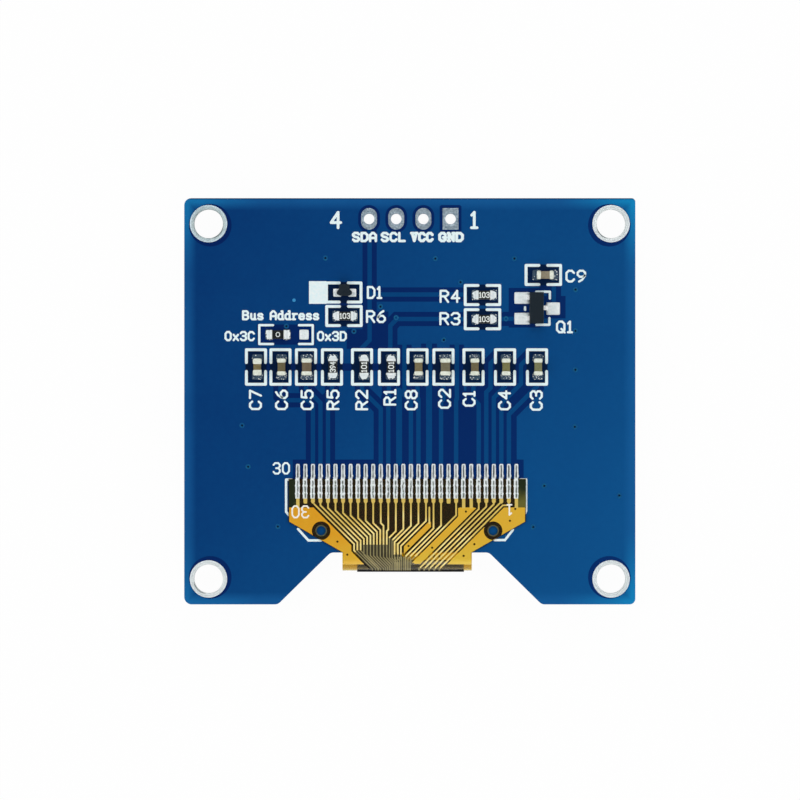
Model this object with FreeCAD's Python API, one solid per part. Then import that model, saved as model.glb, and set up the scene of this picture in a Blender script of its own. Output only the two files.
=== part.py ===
import FreeCAD, Part
import math
import os

from FreeCAD import Vector

# All sizes are millimetres. The module lies on its display, component side up:
# z = 0 is the display's front face, and the board's centre stands over the origin.

# Circuit board
board_width = 42.2
board_height = 38.0
board_thickness = 1.2
left_upper_radius = 0.65
right_upper_radius = 0.35
right_lower_radius = 0.55
left_lower_radius = 0.7

# Notch in the lower edge, which lets the flex pass from the display to the component side
notch_depth = 4.85
notch_top_width = 14.8
notch_side_angle = 44.5
notch_fillet = 0.7

# Plated mounting holes in the corners
mount_inset_x = 2.27
mount_inset_y = 2.38
mount_hole_radius = 1.35
mount_pad_radius = 1.75
plating_thickness = 0.05
copper_thickness = 0.04

# Plated holes for the pin header along the upper edge
header_count = 4
header_pitch = 2.54
header_inset = 1.93
header_hole_radius = 0.5
header_pad_width = 1.56
header_pad_height = 2.1

# Display panel: polarizer, front glass with the emitters, rear glass and what joins them
polarizer_thickness = 0.2
polarizer_margin = 0.5
front_glass_thickness = 0.7
panel_side_inset = 0.08
panel_height = 27.22
panel_notch_inset = 0.2
ledge_height = 4.2
rear_glass_thickness = 0.52
rear_glass_inset = 0.4
seal_gap = 0.03
seal_width = 1.0
recess_depth = 0.25
recess_margin = 1.4
emitter_width = 35.05
emitter_height = 17.52
emitter_top_margin = 3.0
emitter_thickness = 0.02
getter_width = 30.0
getter_height = 12.0
getter_thickness = 0.12

# Driver chip and clear sealant on the front glass's bare ledge
driver_length = 10.5
driver_width = 0.95
driver_thickness = 0.3
driver_glass_gap = 0.9
sealant_length = 30.0
sealant_thickness = 0.12

# Foam tape pads between the rear glass and the board
tape_thickness = 0.5
tape_width = 7.0
tape_height = 18.0
tape_side_inset = 3.0

# Flex tail: film folded round the edge of the display, through the notch
flex_thickness = 0.12
flex_centre_x = -0.25
flex_width = 22.2
flex_neck_width = 12.1
flex_end_height = 6.9
flex_shoulder_height = 2.9
flex_bond_length = 1.5
fold_overhang = 1.72
locating_hole_inset = 3.06
locating_hole_height = 2.05
locating_hole_radius = 0.42

# Copper fields on the flex: a pour at each side and one wide band between the fine traces
pour_drop = 2.68
pour_margin = 0.08
pour_end_drop = 1.1
left_pour_foot = 2.02
left_pour_jog = 0.6
right_pour_foot = 2.32
right_pour_jog = 0.0
jog_rise = 0.55
band_width = 1.4
band_offset = 4.9
band_drop = 0.72
band_end_drop = 0.95
hole_clear_radius = 0.87
trace_slope = 45.0
film_copper_thickness = 0.02

# Thirty soldered contacts between the flex and the board
contact_count = 30
contact_pitch = 0.705
contact_width = 0.44
contact_length = 1.85
contact_thickness = 0.02
flex_land_length = 3.2
flex_land_reach = 1.45
solder_film = 0.06

# Light-blocking strip along the outside of the fold
strip_width = 10.0
strip_thickness = 0.12
strip_centre_x = 0.07
strip_first_angle = -50.0
strip_last_angle = 35.0

# Chip parts: length along the pads, width across them
chip_length = 1.6
chip_width = 0.86
wide_chip_width = 1.02
capacitor_height = 0.8
capacitor_terminal = 0.4
resistor_height = 0.45
resistor_terminal = 0.24
resistor_coat_thickness = 0.03
resistor_coat_margin = 0.06
terminal_wall = 0.03
terminal_chamfer = 0.05
land_under = 0.35
land_outer = 0.4
land_side = 0.08
solder_reach = 0.3
solder_lip = 0.02
solder_rise = 0.6

# Small diode, a moulded body with two flat leads
diode_body_length = 1.3
diode_body_width = 1.0
diode_body_height = 0.75
diode_span = 2.1
diode_lead_width = 0.32
diode_land_length = 0.75
diode_land_width = 0.7

# Three-lead transistor
transistor_body_length = 1.35
transistor_body_width = 2.95
transistor_body_height = 0.95
transistor_span = 2.5
transistor_lead_width = 0.42
transistor_lead_pitch = 1.94
transistor_land_length = 1.4
transistor_land_width = 1.13

# Moulded bodies
body_standoff = 0.06
body_draft = 0.07
lead_thickness = 0.11
lead_root = 0.15
lead_shoulder = 0.12
lead_slant = 0.1

# Open third pad of the address selector
selector_pad_offset = 1.61

# Where the parts stand on the board, from its centre; the diode has slipped up on its lands
row_y = 3.21
c7_x = -14.39
c6_x = -12.10
c5_x = -9.71
r5_x = -7.28
r2_x = -4.47
r1_x = -1.95
c8_x = 0.72
c2_x = 3.15
c1_x = 5.96
c4_x = 8.91
c3_x = 11.90
c9_x = 12.66
c9_y = 11.81
pull_up_x = 6.80
r3_y = 7.68
r4_y = 9.94
r6_x = -6.16
r6_y = 7.98
selector_x = -12.33
selector_y = 6.24
diode_x = -6.09
diode_y = 10.16
diode_slip = 0.2
transistor_x = 11.85
transistor_y = 8.73

# Each part's place, how far it is turned, and its width where widths differ
upright = 90.0
level = 0.0
capacitor_places = [
    ("c1", c1_x, row_y, upright, chip_width),
    ("c2", c2_x, row_y, upright, wide_chip_width),
    ("c3", c3_x, row_y, upright, chip_width),
    ("c4", c4_x, row_y, upright, chip_width),
    ("c5", c5_x, row_y, upright, wide_chip_width),
    ("c6", c6_x, row_y, upright, chip_width),
    ("c7", c7_x, row_y, upright, chip_width),
    ("c8", c8_x, row_y, upright, chip_width),
    ("c9", c9_x, c9_y, level, chip_width),
]
resistor_places = [
    ("resistor_r1", r1_x, row_y, upright),
    ("resistor_r2", r2_x, row_y, upright),
    ("resistor_r3", pull_up_x, r3_y, level),
    ("resistor_r4", pull_up_x, r4_y, level),
    ("resistor_r5", r5_x, row_y, upright),
    ("resistor_r6", r6_x, r6_y, level),
    ("address_link", selector_x, selector_y, level),
]
diode_place = (diode_x, diode_y)
transistor_place = (transistor_x, transistor_y)

# Levels through the stack
ledge_z = polarizer_thickness + front_glass_thickness
rear_glass_z = ledge_z + seal_gap
rear_glass_top = rear_glass_z + rear_glass_thickness
board_z = rear_glass_top + tape_thickness
board_top = board_z + board_thickness
land_top = board_top + copper_thickness
flex_top = land_top + flex_thickness

# Lines across the board
notch_y = notch_depth - board_height / 2
header_y = board_height / 2 - header_inset
panel_width = board_width - 2 * panel_side_inset
panel_low = notch_y + panel_notch_inset
panel_high = panel_low + panel_height
rear_glass_low = panel_low + ledge_height
flex_end_y = notch_y + flex_end_height
flex_shoulder_y = notch_y + flex_shoulder_height
fold_radius = (flex_top - ledge_z) / 2
fold_y = notch_y - fold_overhang + fold_radius
fold_z = (flex_top + ledge_z) / 2


def block(x0, x1, y0, y1, z0, z1):
    """A box between two opposite corners."""
    return Part.makeBox(x1 - x0, y1 - y0, z1 - z0, Vector(x0, y0, z0))


def slab(width, y0, y1, z0, thickness):
    """A box centred on x = 0."""
    return block(-width / 2, width / 2, y0, y1, z0, z0 + thickness)


def polygon(points):
    """A face from its corner points."""
    return Part.Face(Part.makePolygon(points + [points[0]]))


def rounded_face(corners, z):
    """A face at height z from corners (x, y, radius), each rounded by its tangent arc."""
    edges = []
    ends = []
    count = len(corners)
    for i in range(count):
        x, y, radius = corners[i]
        here = Vector(x, y, z)
        before = Vector(corners[i - 1][0], corners[i - 1][1], z)
        after = Vector(corners[(i + 1) % count][0], corners[(i + 1) % count][1], z)
        back = (before - here).normalize()
        on = (after - here).normalize()
        if radius == 0:
            ends.append((here, here))
            continue
        half = back.getAngle(on) / 2
        reach = radius / math.tan(half)
        middle = (back + on).normalize() * (radius / math.sin(half) - radius)
        start = here + back * reach
        stop = here + on * reach
        edges.append(Part.Arc(start, here + middle, stop).toShape())
        ends.append((start, stop))
    for i in range(count):
        stop = ends[i][1]
        start = ends[(i + 1) % count][0]
        edges.append(Part.LineSegment(stop, start).toShape())
    return Part.Face(Part.Wire(Part.__sortEdges__(edges)))


def drill(radius, x, y):
    """A tool that drills the board right through."""
    start = Vector(x, y, board_z - copper_thickness)
    return Part.makeCylinder(radius, board_thickness + 2 * copper_thickness, start)


def place(shape, x, y, turn=0.0):
    """Turns a part about its own centre and sets it on the lands at x, y."""
    placed = shape.copy()
    placed.rotate(Vector(0, 0, 0), Vector(0, 0, 1), turn)
    placed.translate(Vector(x, y, land_top))
    return placed


def mount_centres():
    """Centres of the four corner holes."""
    x = board_width / 2 - mount_inset_x
    y = board_height / 2 - mount_inset_y
    return [(-x, -y), (x, -y), (x, y), (-x, y)]


def header_centres():
    """Centres of the header's holes, from left to right."""
    first = -header_pitch * (header_count - 1) / 2
    return [(first + i * header_pitch, header_y) for i in range(header_count)]


def contact_centres():
    """Middle lines of the flex contacts, from left to right."""
    first = flex_centre_x - contact_pitch * (contact_count - 1) / 2
    return [first + i * contact_pitch for i in range(contact_count)]


def board():
    """The board's outline with its notch, extruded and drilled."""
    side = board_width / 2
    top = board_height / 2
    inner = notch_top_width / 2
    outer = inner + notch_depth / math.tan(math.radians(notch_side_angle))
    corners = [
        (-side, top, left_upper_radius),
        (side, top, right_upper_radius),
        (side, -top, right_lower_radius),
        (outer, -top, notch_fillet),
        (inner, notch_y, notch_fillet),
        (-inner, notch_y, notch_fillet),
        (-outer, -top, notch_fillet),
        (-side, -top, left_lower_radius),
    ]
    plate = rounded_face(corners, board_z).extrude(Vector(0, 0, board_thickness))
    holes = [drill(mount_hole_radius + plating_thickness, x, y) for x, y in mount_centres()]
    holes += [drill(header_hole_radius + plating_thickness, x, y) for x, y in header_centres()]
    return plate.cut(Part.makeCompound(holes))


def mounting_ring(x, y):
    """A plated barrel with a round pad on each face of the board, in one revolved section."""
    bore = mount_hole_radius
    barrel = bore + plating_thickness
    low = board_z - copper_thickness
    section = [
        Vector(bore, 0, low),
        Vector(mount_pad_radius, 0, low),
        Vector(mount_pad_radius, 0, board_z),
        Vector(barrel, 0, board_z),
        Vector(barrel, 0, board_top),
        Vector(mount_pad_radius, 0, board_top),
        Vector(mount_pad_radius, 0, land_top),
        Vector(bore, 0, land_top),
    ]
    ring = polygon(section).revolve(Vector(0, 0, 0), Vector(0, 0, 1), 360)
    ring.translate(Vector(x, y, 0))
    return ring


def header_eyelet(x, y, square):
    """A plated barrel with an obround pad on each face, or a square-cornered one at pin 1."""
    side = header_pad_width / 2
    reach = header_pad_height / 2
    radius = 0 if square else side * 0.98
    corners = [
        (x - side, y + reach, radius),
        (x + side, y + reach, radius),
        (x + side, y - reach, radius),
        (x - side, y - reach, radius),
    ]
    pad = Vector(0, 0, copper_thickness)
    upper = rounded_face(corners, board_top).extrude(pad)
    lower = rounded_face(corners, board_z - copper_thickness).extrude(pad)
    barrel_radius = header_hole_radius + plating_thickness
    barrel = Part.makeCylinder(barrel_radius, board_thickness, Vector(x, y, board_z))
    eyelet = barrel.fuse([upper, lower])
    return eyelet.cut(drill(header_hole_radius, x, y)).removeSplitter()


def header_eyelets():
    """Pin 1 is the rightmost hole, and its pad has square corners."""
    centres = header_centres()
    return [header_eyelet(x, y, (x, y) == centres[-1]) for x, y in centres]


def arc_band(x, width, inner, outer, first, last):
    """Part of a tube round the fold's axis; angles run from the fold's edge up to its top."""

    def point(radius, angle):
        turn = math.radians(angle)
        y = fold_y - radius * math.cos(turn)
        return Vector(x, y, fold_z + radius * math.sin(turn))

    middle = (first + last) / 2
    section = Part.Wire(
        [
            Part.Arc(point(outer, first), point(outer, middle), point(outer, last)).toShape(),
            Part.LineSegment(point(outer, last), point(inner, last)).toShape(),
            Part.Arc(point(inner, last), point(inner, middle), point(inner, first)).toShape(),
            Part.LineSegment(point(inner, first), point(outer, first)).toShape(),
        ]
    )
    return Part.Face(section).extrude(Vector(width, 0, 0))


def locating_holes(radius, height):
    """Tools for the two round holes in the film's shoulders, up from its lower face."""
    tools = []
    for side in (-1, 1):
        x = flex_centre_x + side * (flex_width / 2 - locating_hole_inset)
        foot = Vector(x, notch_y + locating_hole_height, land_top)
        tools.append(Part.makeCylinder(radius, height, foot))
    return Part.makeCompound(tools)


def flex_film():
    """The film: a wide end, sloping shoulders, and a neck folded in a half turn to the ledge."""
    half = flex_width / 2
    neck = flex_neck_width / 2
    sides = [
        (-half, flex_end_y),
        (half, flex_end_y),
        (half, flex_shoulder_y),
        (neck, notch_y),
        (neck, fold_y),
        (-neck, fold_y),
        (-neck, notch_y),
        (-half, flex_shoulder_y),
    ]
    outline = [Vector(flex_centre_x + x, y, land_top) for x, y in sides]
    end = polygon(outline).extrude(Vector(0, 0, flex_thickness))
    left = flex_centre_x - neck
    inner = fold_radius - flex_thickness
    bend = arc_band(left, flex_neck_width, inner, fold_radius, -90, 90)
    bond_y = panel_low + flex_bond_length
    right = left + flex_neck_width
    tail = block(left, right, fold_y, bond_y, ledge_z, ledge_z + flex_thickness)
    holes = locating_holes(locating_hole_radius, flex_thickness)
    return end.fuse([bend, tail]).removeSplitter().cut(holes)


def side_pour(side, foot_width, jog):
    """Outline of the copper along one side; its inner edge slopes, drops by the jog, slopes."""
    edge = flex_width / 2 - pour_margin
    neck = flex_neck_width / 2 - pour_margin
    top = flex_end_y - pour_drop
    low = notch_y - pour_end_drop
    jog_top = notch_y + jog_rise
    slope = math.tan(math.radians(trace_slope))
    foot_x = flex_neck_width / 2 - foot_width
    jog_x = foot_x + (jog_top - jog - low) / slope
    inner = jog_x + (top - jog_top) / slope
    points = [(edge, top), (inner, top), (jog_x, jog_top)]
    if jog > 0:
        points.append((jog_x, jog_top - jog))
    points += [(foot_x, low), (neck, low), (neck, notch_y), (edge, flex_shoulder_y)]
    return [(side * x, y) for x, y in points]


def middle_band():
    """Outline of the wide band: straight down at first, then down and left between the traces."""
    top = flex_end_y - pour_drop
    low = notch_y - band_end_drop
    slope = math.tan(math.radians(trace_slope))
    right = band_offset + band_width
    return [
        (band_offset, top),
        (right, top),
        (right - (top - low) / slope, low),
        (band_offset - (top - band_drop - low) / slope, low),
        (band_offset, top - band_drop),
    ]


def flex_copper():
    """The wide copper fields, laid on the film and round the start of its fold."""
    outer = fold_radius + film_copper_thickness
    left = flex_centre_x - flex_width / 2
    skin_top = flex_top + film_copper_thickness
    flat = block(left, left + flex_width, fold_y, flex_end_y, flex_top, skin_top)
    round_skin = arc_band(left, flex_width, fold_radius, outer, 0, 90)
    skin = flat.fuse(round_skin)
    clear = locating_holes(hole_clear_radius, skin_top - land_top)
    outlines = [
        side_pour(-1, left_pour_foot, left_pour_jog),
        side_pour(1, right_pour_foot, right_pour_jog),
        middle_band(),
    ]
    fields = []
    for outline in outlines:
        points = [Vector(flex_centre_x + x, y, fold_z) for x, y in outline]
        column = polygon(points).extrude(Vector(0, 0, skin_top - fold_z))
        fields += skin.common(column).removeSplitter().cut(clear).Solids
    return fields


def fold_strip():
    """A thin strip that hugs the outside of the fold."""
    left = strip_centre_x - strip_width / 2
    outer = fold_radius + strip_thickness
    return arc_band(left, strip_width, fold_radius, outer, strip_first_angle, strip_last_angle)


def flex_land(x):
    """A land on the board under one contact, narrowed at its free end."""
    side = contact_width / 2
    high = flex_end_y + flex_land_reach
    low = high - flex_land_length
    cut = side / 2
    corners = [
        Vector(x - side, high - cut, board_top),
        Vector(x - cut, high, board_top),
        Vector(x + cut, high, board_top),
        Vector(x + side, high - cut, board_top),
        Vector(x + side, low, board_top),
        Vector(x - side, low, board_top),
    ]
    return polygon(corners).extrude(Vector(0, 0, copper_thickness))


def flex_contact(x):
    """A bare contact on the film's upper face."""
    side = contact_width / 2
    low = flex_end_y - contact_length
    return block(x - side, x + side, low, flex_end_y, flex_top, flex_top + contact_thickness)


def flex_joint(x):
    """Solder that runs from the land over the film's edge and along the contact."""
    side = contact_width / 2
    contact_top = flex_top + contact_thickness
    far = flex_end_y + flex_land_reach - side
    near = flex_end_y - contact_length + side / 2
    section = [
        Vector(x - side, flex_end_y, land_top),
        Vector(x - side, far, land_top),
        Vector(x - side, far - side, land_top + solder_film),
        Vector(x - side, flex_end_y + 2 * solder_film, land_top + solder_film),
        Vector(x - side, flex_end_y, contact_top + solder_film),
        Vector(x - side, near + side, contact_top + solder_film),
        Vector(x - side, near, contact_top),
        Vector(x - side, flex_end_y, contact_top),
    ]
    return polygon(section).extrude(Vector(contact_width, 0, 0))


def front_glass():
    """The glass that carries the emitters, with a bare ledge along its lower edge."""
    return slab(panel_width, panel_low, panel_high, polarizer_thickness, front_glass_thickness)


def rear_outline(inset, low_inset, z, thickness):
    """A slab inside the rear glass's outline."""
    width = panel_width - 2 * rear_glass_inset - 2 * inset
    low = rear_glass_low + low_inset
    high = panel_high - rear_glass_inset - inset
    return slab(width, low, high, z, thickness)


def rear_glass():
    """The covering glass, etched hollow over the emitters."""
    plate = rear_outline(0, 0, rear_glass_z, rear_glass_thickness)
    recess = rear_outline(recess_margin, recess_margin, rear_glass_z, recess_depth)
    return plate.cut(recess)


def seal_bead():
    """The bead that joins the two glasses round the rear one's rim."""
    outer = rear_outline(0, 0, ledge_z, seal_gap)
    inner = rear_outline(seal_width, seal_width, ledge_z, seal_gap)
    return outer.cut(inner)


def polarizer():
    """The film over the front glass, short of the ledge."""
    high = panel_high - polarizer_margin
    width = panel_width - 2 * polarizer_margin
    return slab(width, rear_glass_low, high, 0, polarizer_thickness)


def emitter_layer():
    """The light-emitting field on the front glass's inner face."""
    high = panel_high - emitter_top_margin
    return slab(emitter_width, high - emitter_height, high, ledge_z, emitter_thickness)


def getter():
    """The drying sheet that lines the rear glass's recess."""
    middle = panel_high - emitter_top_margin - emitter_height / 2
    low = middle - getter_height / 2
    ceiling = rear_glass_z + recess_depth
    return slab(getter_width, low, low + getter_height, ceiling - getter_thickness, getter_thickness)


def driver_chip():
    """The display's driver, bonded face down on the ledge."""
    high = rear_glass_low - driver_glass_gap
    return slab(driver_length, high - driver_width, high, ledge_z, driver_thickness)


def ledge_sealant():
    """Clear sealant over the ledge's tracks, from the rear glass to the flex, round the driver."""
    low = panel_low + flex_bond_length
    bead = slab(sealant_length, low, rear_glass_low, ledge_z, sealant_thickness)
    return bead.cut(driver_chip())


def tape_pad(side):
    """A foam pad beside the panel's middle, on the rear glass."""
    outer = side * (panel_width / 2 - tape_side_inset)
    inner = outer - side * tape_width
    middle = (rear_glass_low + panel_high - rear_glass_inset) / 2
    low = middle - tape_height / 2
    x0 = min(outer, inner)
    x1 = max(outer, inner)
    return block(x0, x1, low, low + tape_height, rear_glass_top, board_z)


def chip_core(length, width, height):
    """The inside of a chip part, one terminal wall short of its outer faces."""
    half = length / 2 - terminal_wall
    side = width / 2 - terminal_wall
    return block(-half, half, -side, side, terminal_wall, height - terminal_wall)


def capacitor_body(width):
    """The ceramic block, its long edges bevelled."""
    core = chip_core(chip_length, width, capacitor_height)
    edges = [e for e in core.Edges if abs(e.tangentAt(0).x) > 0.9]
    return core.makeChamfer(terminal_wall, edges)


def capacitor_terminals(width):
    """Two metal caps over the ends, bevelled at their outer edges."""
    half = chip_length / 2
    caps = []
    for side in (-1, 1):
        inner = side * (half - capacitor_terminal)
        x0 = min(inner, side * half)
        x1 = max(inner, side * half)
        cap = block(x0, x1, -width / 2, width / 2, 0, capacitor_height)
        outer_edges = []
        for edge in cap.Edges:
            centre = edge.CenterOfMass
            if abs(centre.x - inner) > terminal_wall:
                outer_edges.append(edge)
        cap = cap.makeChamfer(terminal_chamfer, outer_edges)
        caps.append(cap.cut(capacitor_body(width)))
    return caps


def resistor_body():
    """The white ceramic base."""
    half = chip_length / 2 - terminal_wall
    side = chip_width / 2
    return block(-half, half, -side, side, terminal_wall, resistor_height - terminal_wall)


def resistor_coat():
    """The dark glass over the resistor, between its terminals."""
    half = chip_length / 2 - resistor_terminal
    side = chip_width / 2 - resistor_coat_margin
    base = resistor_height - terminal_wall
    return block(-half, half, -side, side, base, base + resistor_coat_thickness)


def resistor_terminals():
    """Two metal wraps over the ends, open at the sides."""
    half = chip_length / 2
    wraps = []
    for side in (-1, 1):
        inner = side * (half - resistor_terminal)
        x0 = min(inner, side * half)
        x1 = max(inner, side * half)
        wrap = block(x0, x1, -chip_width / 2, chip_width / 2, 0, resistor_height)
        outer_edges = []
        for edge in wrap.Edges:
            centre = edge.CenterOfMass
            along_y = abs(edge.tangentAt(0).y) > 0.9
            if along_y and abs(centre.x - side * half) < terminal_wall:
                outer_edges.append(edge)
        wrap = wrap.makeChamfer(terminal_chamfer, outer_edges)
        wraps.append(wrap.cut(resistor_body()))
    return wraps


def land(x0, x1, y, width):
    """A copper land on the board, in a part's own frame."""
    low = min(x0, x1)
    high = max(x0, x1)
    return block(low, high, y - width / 2, y + width / 2, -copper_thickness, 0)


def hollow_point(reach, height):
    """Middle of a hollow arc down a wall and out along a floor, tangent to the longer of them."""
    if height >= reach:
        radius = (reach**2 + height**2) / (2 * reach)
        centre = Vector(radius, 0, height)
    else:
        radius = (reach**2 + height**2) / (2 * height)
        centre = Vector(reach, 0, radius)
    chord_middle = Vector(reach / 2, 0, height / 2)
    return centre + (chord_middle - centre).normalize() * radius


def solder_fillet(x, side, y, reach, rise, width):
    """A hollow ramp of solder from a land up to an end face at x."""
    foot = Vector(x, y - width / 2, 0)
    toe = foot + Vector(side * reach, 0, 0)
    lip = toe + Vector(0, 0, solder_lip)
    top = foot + Vector(0, 0, rise)
    bend = hollow_point(reach, rise - solder_lip)
    hollow = foot + Vector(side * bend.x, 0, solder_lip + bend.z)
    section = Part.Wire(
        [
            Part.LineSegment(foot, toe).toShape(),
            Part.LineSegment(toe, lip).toShape(),
            Part.Arc(lip, hollow, top).toShape(),
            Part.LineSegment(top, foot).toShape(),
        ]
    )
    return Part.Face(section).extrude(Vector(0, width, 0))


def chip_lands(width):
    """The two lands under a chip part."""
    half = chip_length / 2
    across = width + 2 * land_side
    return [
        land(side * (half - land_under), side * (half + land_outer), 0, across)
        for side in (-1, 1)
    ]


def chip_fillets(width, height):
    """The solder at both ends of a chip part."""
    half = chip_length / 2
    rise = height * solder_rise
    return [
        solder_fillet(side * half, side, 0, solder_reach, rise, width - 2 * terminal_chamfer)
        for side in (-1, 1)
    ]


def moulded_body(length, width, height):
    """A moulded block, widest at the level where its leads come out."""
    middle = body_standoff + (height - body_standoff) / 2
    outlines = []
    for z, inset in ((body_standoff, body_draft), (middle, 0), (height, body_draft)):
        x = length / 2 - inset
        y = width / 2 - inset
        corners = [Vector(-x, -y, z), Vector(x, -y, z), Vector(x, y, z), Vector(-x, y, z)]
        outlines.append(Part.makePolygon(corners + [corners[0]]))
    return Part.makeLoft(outlines, True, True)


def formed_lead(side, y, body_length, span, body_height, width):
    """A flat lead that leaves the body at its middle and bends down to a foot on the land."""
    middle = body_standoff + (body_height - body_standoff) / 2
    root = body_length / 2 - lead_root
    knee = body_length / 2 + lead_shoulder
    heel = knee + lead_slant
    toe = span / 2
    low = middle - lead_thickness / 2
    high = middle + lead_thickness / 2
    profile = [
        (root, low),
        (knee - lead_thickness / 2, low),
        (heel - lead_thickness / 2, 0),
        (toe, 0),
        (toe, lead_thickness),
        (heel + lead_thickness / 2, lead_thickness),
        (knee + lead_thickness / 2, high),
        (root, high),
    ]
    points = [Vector(side * x, y - width / 2, z) for x, z in profile]
    return polygon(points).extrude(Vector(0, width, 0))


def diode_leads():
    """One lead at each end of the diode."""
    sizes = (diode_body_length, diode_span, diode_body_height, diode_lead_width)
    return [formed_lead(side, 0, *sizes) for side in (-1, 1)]


def diode_body():
    """The diode's moulded block round its leads."""
    block_shape = moulded_body(diode_body_length, diode_body_width, diode_body_height)
    return block_shape.cut(Part.makeCompound(diode_leads()))


def diode_lands():
    """The diode's two lands, from under its feet outwards."""
    start = diode_span / 2 - lead_slant - lead_shoulder
    return [
        land(side * start, side * (start + diode_land_length), 0, diode_land_width)
        for side in (-1, 1)
    ]


def diode_fillets():
    """Solder at the toes of the diode's leads."""
    toe = diode_span / 2
    return [
        solder_fillet(side * toe, side, 0, solder_reach, lead_thickness, diode_lead_width)
        for side in (-1, 1)
    ]


def transistor_feet():
    """Each transistor lead's side and its place along the body."""
    half = transistor_lead_pitch / 2
    return [(-1, half), (-1, -half), (1, 0)]


def transistor_leads():
    """Two leads on the left side and one on the right."""
    sizes = (
        transistor_body_length,
        transistor_span,
        transistor_body_height,
        transistor_lead_width,
    )
    return [formed_lead(side, y, *sizes) for side, y in transistor_feet()]


def transistor_body():
    """The transistor's moulded block round its leads."""
    block_shape = moulded_body(
        transistor_body_length, transistor_body_width, transistor_body_height
    )
    return block_shape.cut(Part.makeCompound(transistor_leads()))


def transistor_lands():
    """The transistor's three lands."""
    start = transistor_body_length / 2
    return [
        land(side * start, side * (start + transistor_land_length), y, transistor_land_width)
        for side, y in transistor_feet()
    ]


def transistor_fillets():
    """Solder at the toes of the transistor's leads."""
    toe = transistor_span / 2
    return [
        solder_fillet(side * toe, side, y, solder_reach, lead_thickness, transistor_lead_width)
        for side, y in transistor_feet()
    ]


def save(name, shapes):
    """Writes one sub-part, a solid or a group of separate solids."""
    solids = shapes if isinstance(shapes, list) else [shapes]
    shape = solids[0] if len(solids) == 1 else Part.makeCompound(solids)
    shape.exportStep("parts/" + name + ".step")


def placed(shapes, x, y, turn=0.0):
    """Every shape of a list, set on the board."""
    return [place(shape, x, y, turn) for shape in shapes]


def save_chips():
    """All chip parts, with the lands and the solder that hold them gathered in groups."""
    lands = []
    fillets = []
    coats = []
    for name, x, y, turn, width in capacitor_places:
        save("capacitor_" + name + "_body", place(capacitor_body(width), x, y, turn))
        save("capacitor_" + name + "_terminals", placed(capacitor_terminals(width), x, y, turn))
        lands += placed(chip_lands(width), x, y, turn)
        fillets += placed(chip_fillets(width, capacitor_height), x, y, turn)
    for name, x, y, turn in resistor_places:
        save(name + "_body", place(resistor_body(), x, y, turn))
        save(name + "_terminals", placed(resistor_terminals(), x, y, turn))
        coats.append(place(resistor_coat(), x, y, turn))
        lands += placed(chip_lands(chip_width), x, y, turn)
        fillets += placed(chip_fillets(chip_width, resistor_height), x, y, turn)
        if name == "address_link":
            spare = chip_lands(chip_width)[1]
            lands.append(place(spare, x + selector_pad_offset, y, turn))
    save("diode_d1_body", place(diode_body(), diode_x, diode_y + diode_slip))
    save("diode_d1_leads", placed(diode_leads(), diode_x, diode_y + diode_slip))
    save("transistor_q1_body", place(transistor_body(), *transistor_place))
    save("transistor_q1_leads", placed(transistor_leads(), *transistor_place))
    lands += placed(diode_lands(), *diode_place)
    lands += placed(transistor_lands(), *transistor_place)
    fillets += placed(diode_fillets(), diode_x, diode_y + diode_slip)
    fillets += placed(transistor_fillets(), *transistor_place)
    save("resistor_coats", coats)
    save("chip_lands", lands)
    save("chip_solder", fillets)


def main():
    os.makedirs("parts", exist_ok=True)
    save("board", board())
    save("mounting_rings", [mounting_ring(x, y) for x, y in mount_centres()])
    save("header_eyelets", header_eyelets())
    save("flex_film", flex_film())
    save("flex_copper", flex_copper())
    save("fold_strip", fold_strip())
    save("flex_lands", [flex_land(x) for x in contact_centres()])
    save("flex_contacts", [flex_contact(x) for x in contact_centres()])
    save("flex_solder", [flex_joint(x) for x in contact_centres()])
    save("front_glass", front_glass())
    save("rear_glass", rear_glass())
    save("seal_bead", seal_bead())
    save("polarizer", polarizer())
    save("emitter_layer", emitter_layer())
    save("getter_sheet", getter())
    save("driver_chip", driver_chip())
    save("ledge_sealant", ledge_sealant())
    save("tape_left", tape_pad(-1))
    save("tape_right", tape_pad(1))
    save_chips()


main()
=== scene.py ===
import math
from collections import namedtuple

import bmesh
import bpy
from mathutils import Matrix, Vector, noise


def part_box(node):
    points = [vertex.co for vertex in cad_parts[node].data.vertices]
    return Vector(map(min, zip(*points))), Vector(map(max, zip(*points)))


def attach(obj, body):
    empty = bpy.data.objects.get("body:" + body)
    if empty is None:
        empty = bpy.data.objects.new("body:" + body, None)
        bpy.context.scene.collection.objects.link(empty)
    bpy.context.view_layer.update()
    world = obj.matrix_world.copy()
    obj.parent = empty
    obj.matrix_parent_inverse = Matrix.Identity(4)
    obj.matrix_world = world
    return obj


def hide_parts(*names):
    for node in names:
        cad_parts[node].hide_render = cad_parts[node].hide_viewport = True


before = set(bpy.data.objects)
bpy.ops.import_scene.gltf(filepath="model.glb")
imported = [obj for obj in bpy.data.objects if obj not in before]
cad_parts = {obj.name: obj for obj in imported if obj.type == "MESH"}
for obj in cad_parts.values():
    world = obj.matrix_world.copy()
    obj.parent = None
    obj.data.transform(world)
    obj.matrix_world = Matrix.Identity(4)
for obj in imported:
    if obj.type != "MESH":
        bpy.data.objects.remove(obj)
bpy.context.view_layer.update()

bl_info = {
    "name": "Small OLED module",
    "version": (1, 0, 0),
    "blender": (4, 5, 0),
    "location": "3D View > Sidebar > OLED module",
    "description": "Dresses the board, flex tail, chip parts and display of a small OLED module",
    "category": "Object",
}

# Pieces are modelled in millimetres and brought into the frame's metres when they are settled.
MM = 0.001
ROOT = "root"


def node_box(name):
    """Lowest and highest corner of a construction node, in millimetres."""
    low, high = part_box(name)
    return Vector(low) / MM, Vector(high) / MM


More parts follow.
